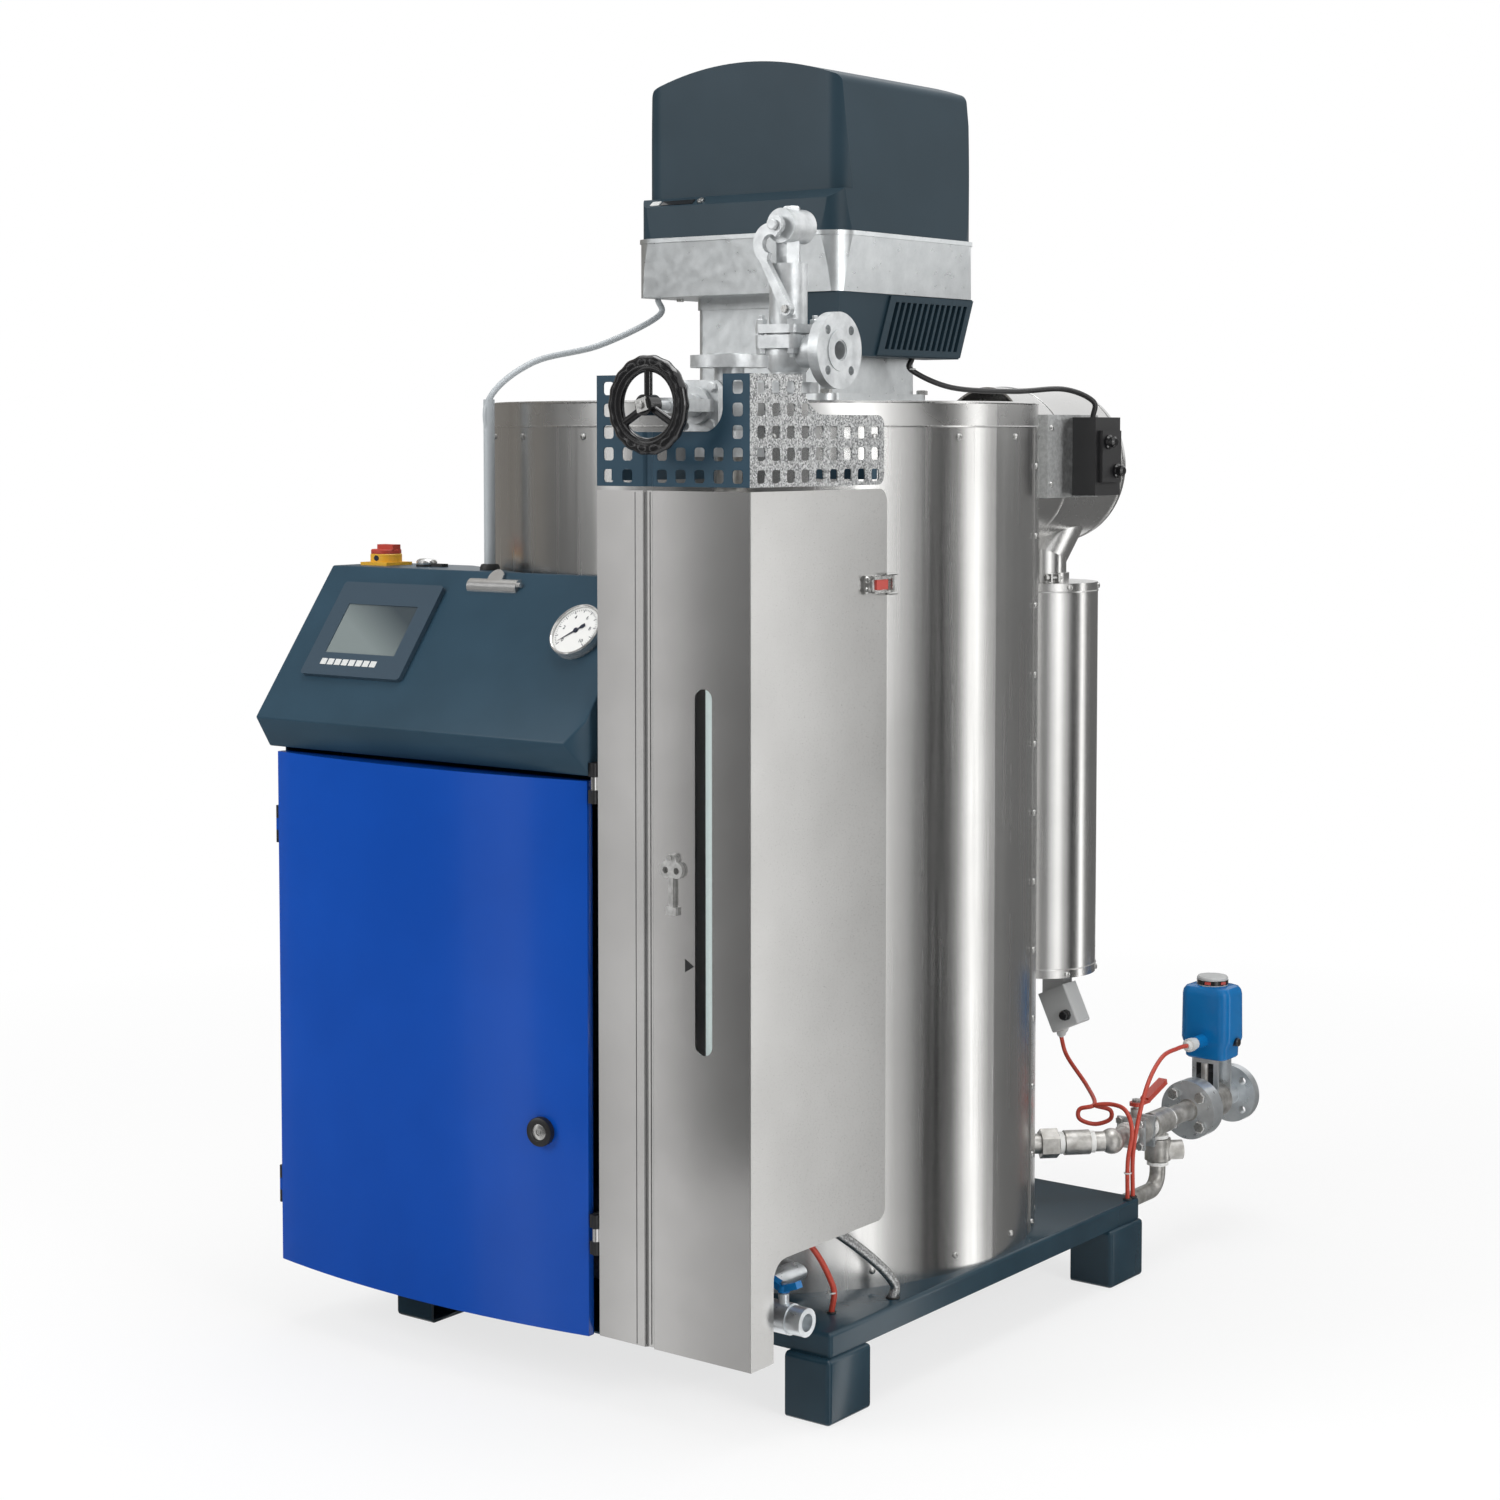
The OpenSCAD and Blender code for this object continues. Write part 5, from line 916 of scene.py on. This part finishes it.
tapes += [turned(wide_band, 36, spot(line_x, 472, line_z), (0, 1, 0), closed=True)]
thin_band = [(19, 0), (19, 6), (12, 6), (12, 0)]
tapes += [turned(thin_band, 32, spot(line_x, 588.264, z), (0, 0, 1), closed=True) for z in (158, 206)]
add("thread_tape", "boiler", dial_white, *tapes)
# A thin gloss-black sheet across the yoke's opening is painted shade.
yoke_shade_sheet = slab(spot(line_x, 762.7, 286), (1, 0, 0), (0, 0, 1), 34, 42, -0.5, 0.3)
add("yoke_opening", "boiler", gloss_black, yoke_shade_sheet)
yoke_stem = turned([(7, 0), (7, 42)], 24, spot(line_x, 763.5, 265), (0, 0, 1))
valve_waist = turned([(31.8, 0), (31.8, 42)], 48, spot(line_x, 768.3, line_z), (0, 1, 0))
add("motor_waist", "boiler", worn_pipe, yoke_stem, valve_waist)


# Actuator and drain handle: blue stove enamel over die castings, a grey turret on top of
# the actuator whose window shows red and black marks.
blue_coat, nodes, links, shader = principled(
    "blue_coat", (0.003, 0.15, 0.41), 0.0, 0.24, coat=0.10, specular=0.25
)
tint(nodes, links, shader, grain(nodes, links, 12.0), (0.003, 0.14, 0.39), (0.004, 0.16, 0.43))
relief(nodes, links, shader, grain(nodes, links, 500.0), 0.2, 0.0003)
dress(blue_coat, "drain_handle")


def lofted(rings, place, steps=8):
    """A closed case through rounded rectangles: half sizes, corner radius and height."""
    points = []
    for half_x, half_y, corner, height in rings:
        for quarter, (sx, sy) in enumerate(((1, 1), (-1, 1), (-1, -1), (1, -1))):
            for k in range(steps + 1):
                turn = math.pi / 2 * (quarter + k / steps)
                x = sx * (half_x - corner) + corner * math.cos(turn)
                y = sy * (half_y - corner) + corner * math.sin(turn)
                points.append(place + Vector((x, y, height)) / 1000)
    count = 4 * (steps + 1)
    faces = [tuple(range(count - 1, -1, -1))]
    for i in range(len(rings) - 1):
        low = i * count
        faces += [(low + k, low + (k + 1) % count, low + count + (k + 1) % count, low + count + k)
                  for k in range(count)]
    faces.append(tuple((len(rings) - 1) * count + k for k in range(count)))
    return points, faces


case_rings = [(38, 30, 12, 0), (41, 33, 14, 3), (42, 34, 15, 22), (47, 37, 18, 30), (49, 39, 20, 37)]
case_rings += [(48, 38.5, 20, 116), (46.5, 37, 19.5, 124), (42, 33, 17, 130), (35, 27, 14, 132.3)]
case_shell = lofted(case_rings, spot(line_x, motor_y, 315))
gland_boss = turned([(12, 0), (12, 33)], 32, spot(line_x, 722, 350), (0, 1, 0))
add("actuator_case", "boiler", blue_coat, case_shell, gland_boss, node=("valve_actuator",))
case_lugs = [
    turned([(8, -3), (8, 6), (6.5, 8)], 24, spot(line_x + s * 47, motor_y, 347), (s, 0, 0))
    for s in (-1, 1)
]
add("actuator_lugs", "boiler", gloss_black, *case_lugs)
turret_top = spot(line_x, motor_y, 447)
turret = turned([(28, -0.3), (28, 13.5), (26, 16.3), (12, 16.6)], 48, turret_top, (0, 0, 1))
add("actuator_turret", "boiler", grey_moulding, turret)
window = turned([(28.5, 2), (28.5, 10), (27, 10), (27, 2)], 48, turret_top, (0, 0, 1), closed=True)
add("turret_window", "boiler", gloss_black, window)
marks = []
for heading in (-80, -20, 100, 160):
    way = Vector((math.cos(math.radians(heading)), math.sin(math.radians(heading)), 0.0))
    seat = turret_top + way * 0.028 + Vector((0, 0, 0.006))
    marks.append(slab(seat, (-way.y, way.x, 0), (0, 0, 1), 11, 5, 0, 0.9))
add("turret_marks", "boiler", red_insert, *marks)


# Leads and hoses: smooth tubes along the routes of the part, in pale, black, red and
# braided steel sheaths, each fixed at both ends by a gland, a housing or the tray.
# The terminal lead is wound into one loop, and white ties bind the leads.
lead_sides = 16
lead_steps = 9


def tube(route, radius, sides=lead_sides, steps=lead_steps):
    """A round tube along a smooth curve through route points in millimetres."""
    knots = [spot(*point) for point in route]
    knots = [knots[0] * 2 - knots[1]] + knots + [knots[-1] * 2 - knots[-2]]
    line = []
    for i in range(1, len(knots) - 2):
        a, b, c, d = knots[i - 1:i + 3]
        for k in range(steps):
            t = k / steps
            line.append((b * 2 + (c - a) * t + (a * 2 - b * 5 + c * 4 - d) * t * t
                         + (b * 3 - a - c * 3 + d) * t ** 3) / 2)
    line.append(knots[-2])
    points = []
    across = None
    for i, here in enumerate(line):
        way = (line[min(i + 1, len(line) - 1)] - line[max(i - 1, 0)]).normalized()
        if across is None:
            across = way.orthogonal()
        across = (across - way * across.dot(way)).normalized()
        up = way.cross(across)
        for k in range(sides):
            turn = 2 * math.pi * k / sides
            points.append(here + (across * math.cos(turn) + up * math.sin(turn)) * radius / 1000)
    faces = [tuple(range(sides - 1, -1, -1))]
    for i in range(len(line) - 1):
        low = i * sides
        faces += [(low + k, low + (k + 1) % sides, low + sides + (k + 1) % sides, low + sides + k)
                  for k in range(sides)]
    faces.append(tuple((len(line) - 1) * sides + k for k in range(sides)))
    return points, faces


sheath, nodes, links, shader = principled("sheath", (0.011, 0.011, 0.012), 0.0, 0.36)
relief(nodes, links, shader, grain(nodes, links, 260.0), 0.2, 0.0004)
conduit = [(-150, -100, 1669), (-150, -100, 1640), (-185, -210, 1590), (-215, -340, 1560)]
conduit += [(-230, -428, 1500), (-230, -428, 1420.52), (-230, -428, 1319.44), (-230, -428, 1229)]
pale_sheath, nodes, links, shader = principled("pale_sheath", (0.40, 0.43, 0.45), 0.0, 0.42)
relief(nodes, links, shader, grain(nodes, links, 300.0, (0.2, 0.2, 1.0)), 0.3, 0.0006)
sleeve = tube(conduit[4:], 9)
add("conduit_tube", "boiler", pale_sheath, tube(conduit, 5), sleeve, node=("burner_conduit",))
intake = [(210, 120, 1569), (210, 120, 1550), (250, 180, 1522), (320, 260, 1516), (380, 320, 1520)]
intake += [(420, 350, 1500), (420, 350, 1473)]
add("intake_tube", "boiler", sheath, tube(intake, 4.5), node=("intake_lead",))
red_sheath, nodes, links, shader = principled("red_sheath", (0.50, 0.055, 0.030), 0.0, 0.42)
relief(nodes, links, shader, grain(nodes, links, 300.0), 0.15, 0.0003)
terminal = [(236, 570, 368), (248, 572, 330.56), (310, 536, 292)]
for k in range(7):
    turn = math.radians(90 + 60 * k)
    sideways = 30 * math.cos(turn)
    loop_x = 363 + 0.8 * sideways + 0.96 * k
    loop_y = 472 + 0.6 * sideways - 1.28 * k
    terminal.append((loop_x, loop_y, 262 + 17 * math.sin(turn)))
terminal += [(400, 470, 284), (432, 460, 279), (452, 446, 250), (452, 432, 199.52), (452, 432, 134)]
actuator = [(424.26, 700.26, 350), (424.26, 660.26, 352), (434.26, 580.26, 350)]
actuator += [(448, 500, 310), (452, 452, 220), (452, 450, 134)]
add("red_tubes", "boiler", red_sheath, tube(terminal, 3.8), tube(actuator, 3.8), node=("red_leads",))
braid, nodes, links, shader = principled("braid", (0.46, 0.465, 0.465), 1.0, 0.38)
weave = grain(nodes, links, 420.0, detail=1.0)
tint(nodes, links, shader, weave, (0.26, 0.265, 0.265), (0.62, 0.625, 0.625), 0.40, 0.60)
relief(nodes, links, shader, weave, 0.5, 0.0008)
hose = [(436, -262, 134), (436, -262, 160), (410, -310, 215), (370, -420, 300)]
hose += [(323, -530, 380), (323, -568, 440), (323, -568, 480)]
front_lead = [(404, -378, 134), (404, -378, 180), (370, -420, 260), (260, -500, 330)]
front_lead += [(190, -520, 340), (130, -520, 340)]
front = add("front_tubes", "boiler", braid, tube(hose, 8), tube(front_lead, 4.5), node=("front_hoses",))
front.data.materials.append(red_sheath)
hose_faces = lead_sides * lead_steps * (len(hose) - 1) + 2
for face in front.data.polygons:
    if face.index >= hose_faces:
        face.material_index = 1
tie = ring_profile(5.6, 1.3, 8)
tie_places = [(452, 432, 180), (210, 120, 1552), (404, -378, 165)]
ties = [turned(tie, 24, spot(*place), (0, 0, 1), closed=True) for place in tie_places]
add("cable_ties", "boiler", white_moulding, *ties)
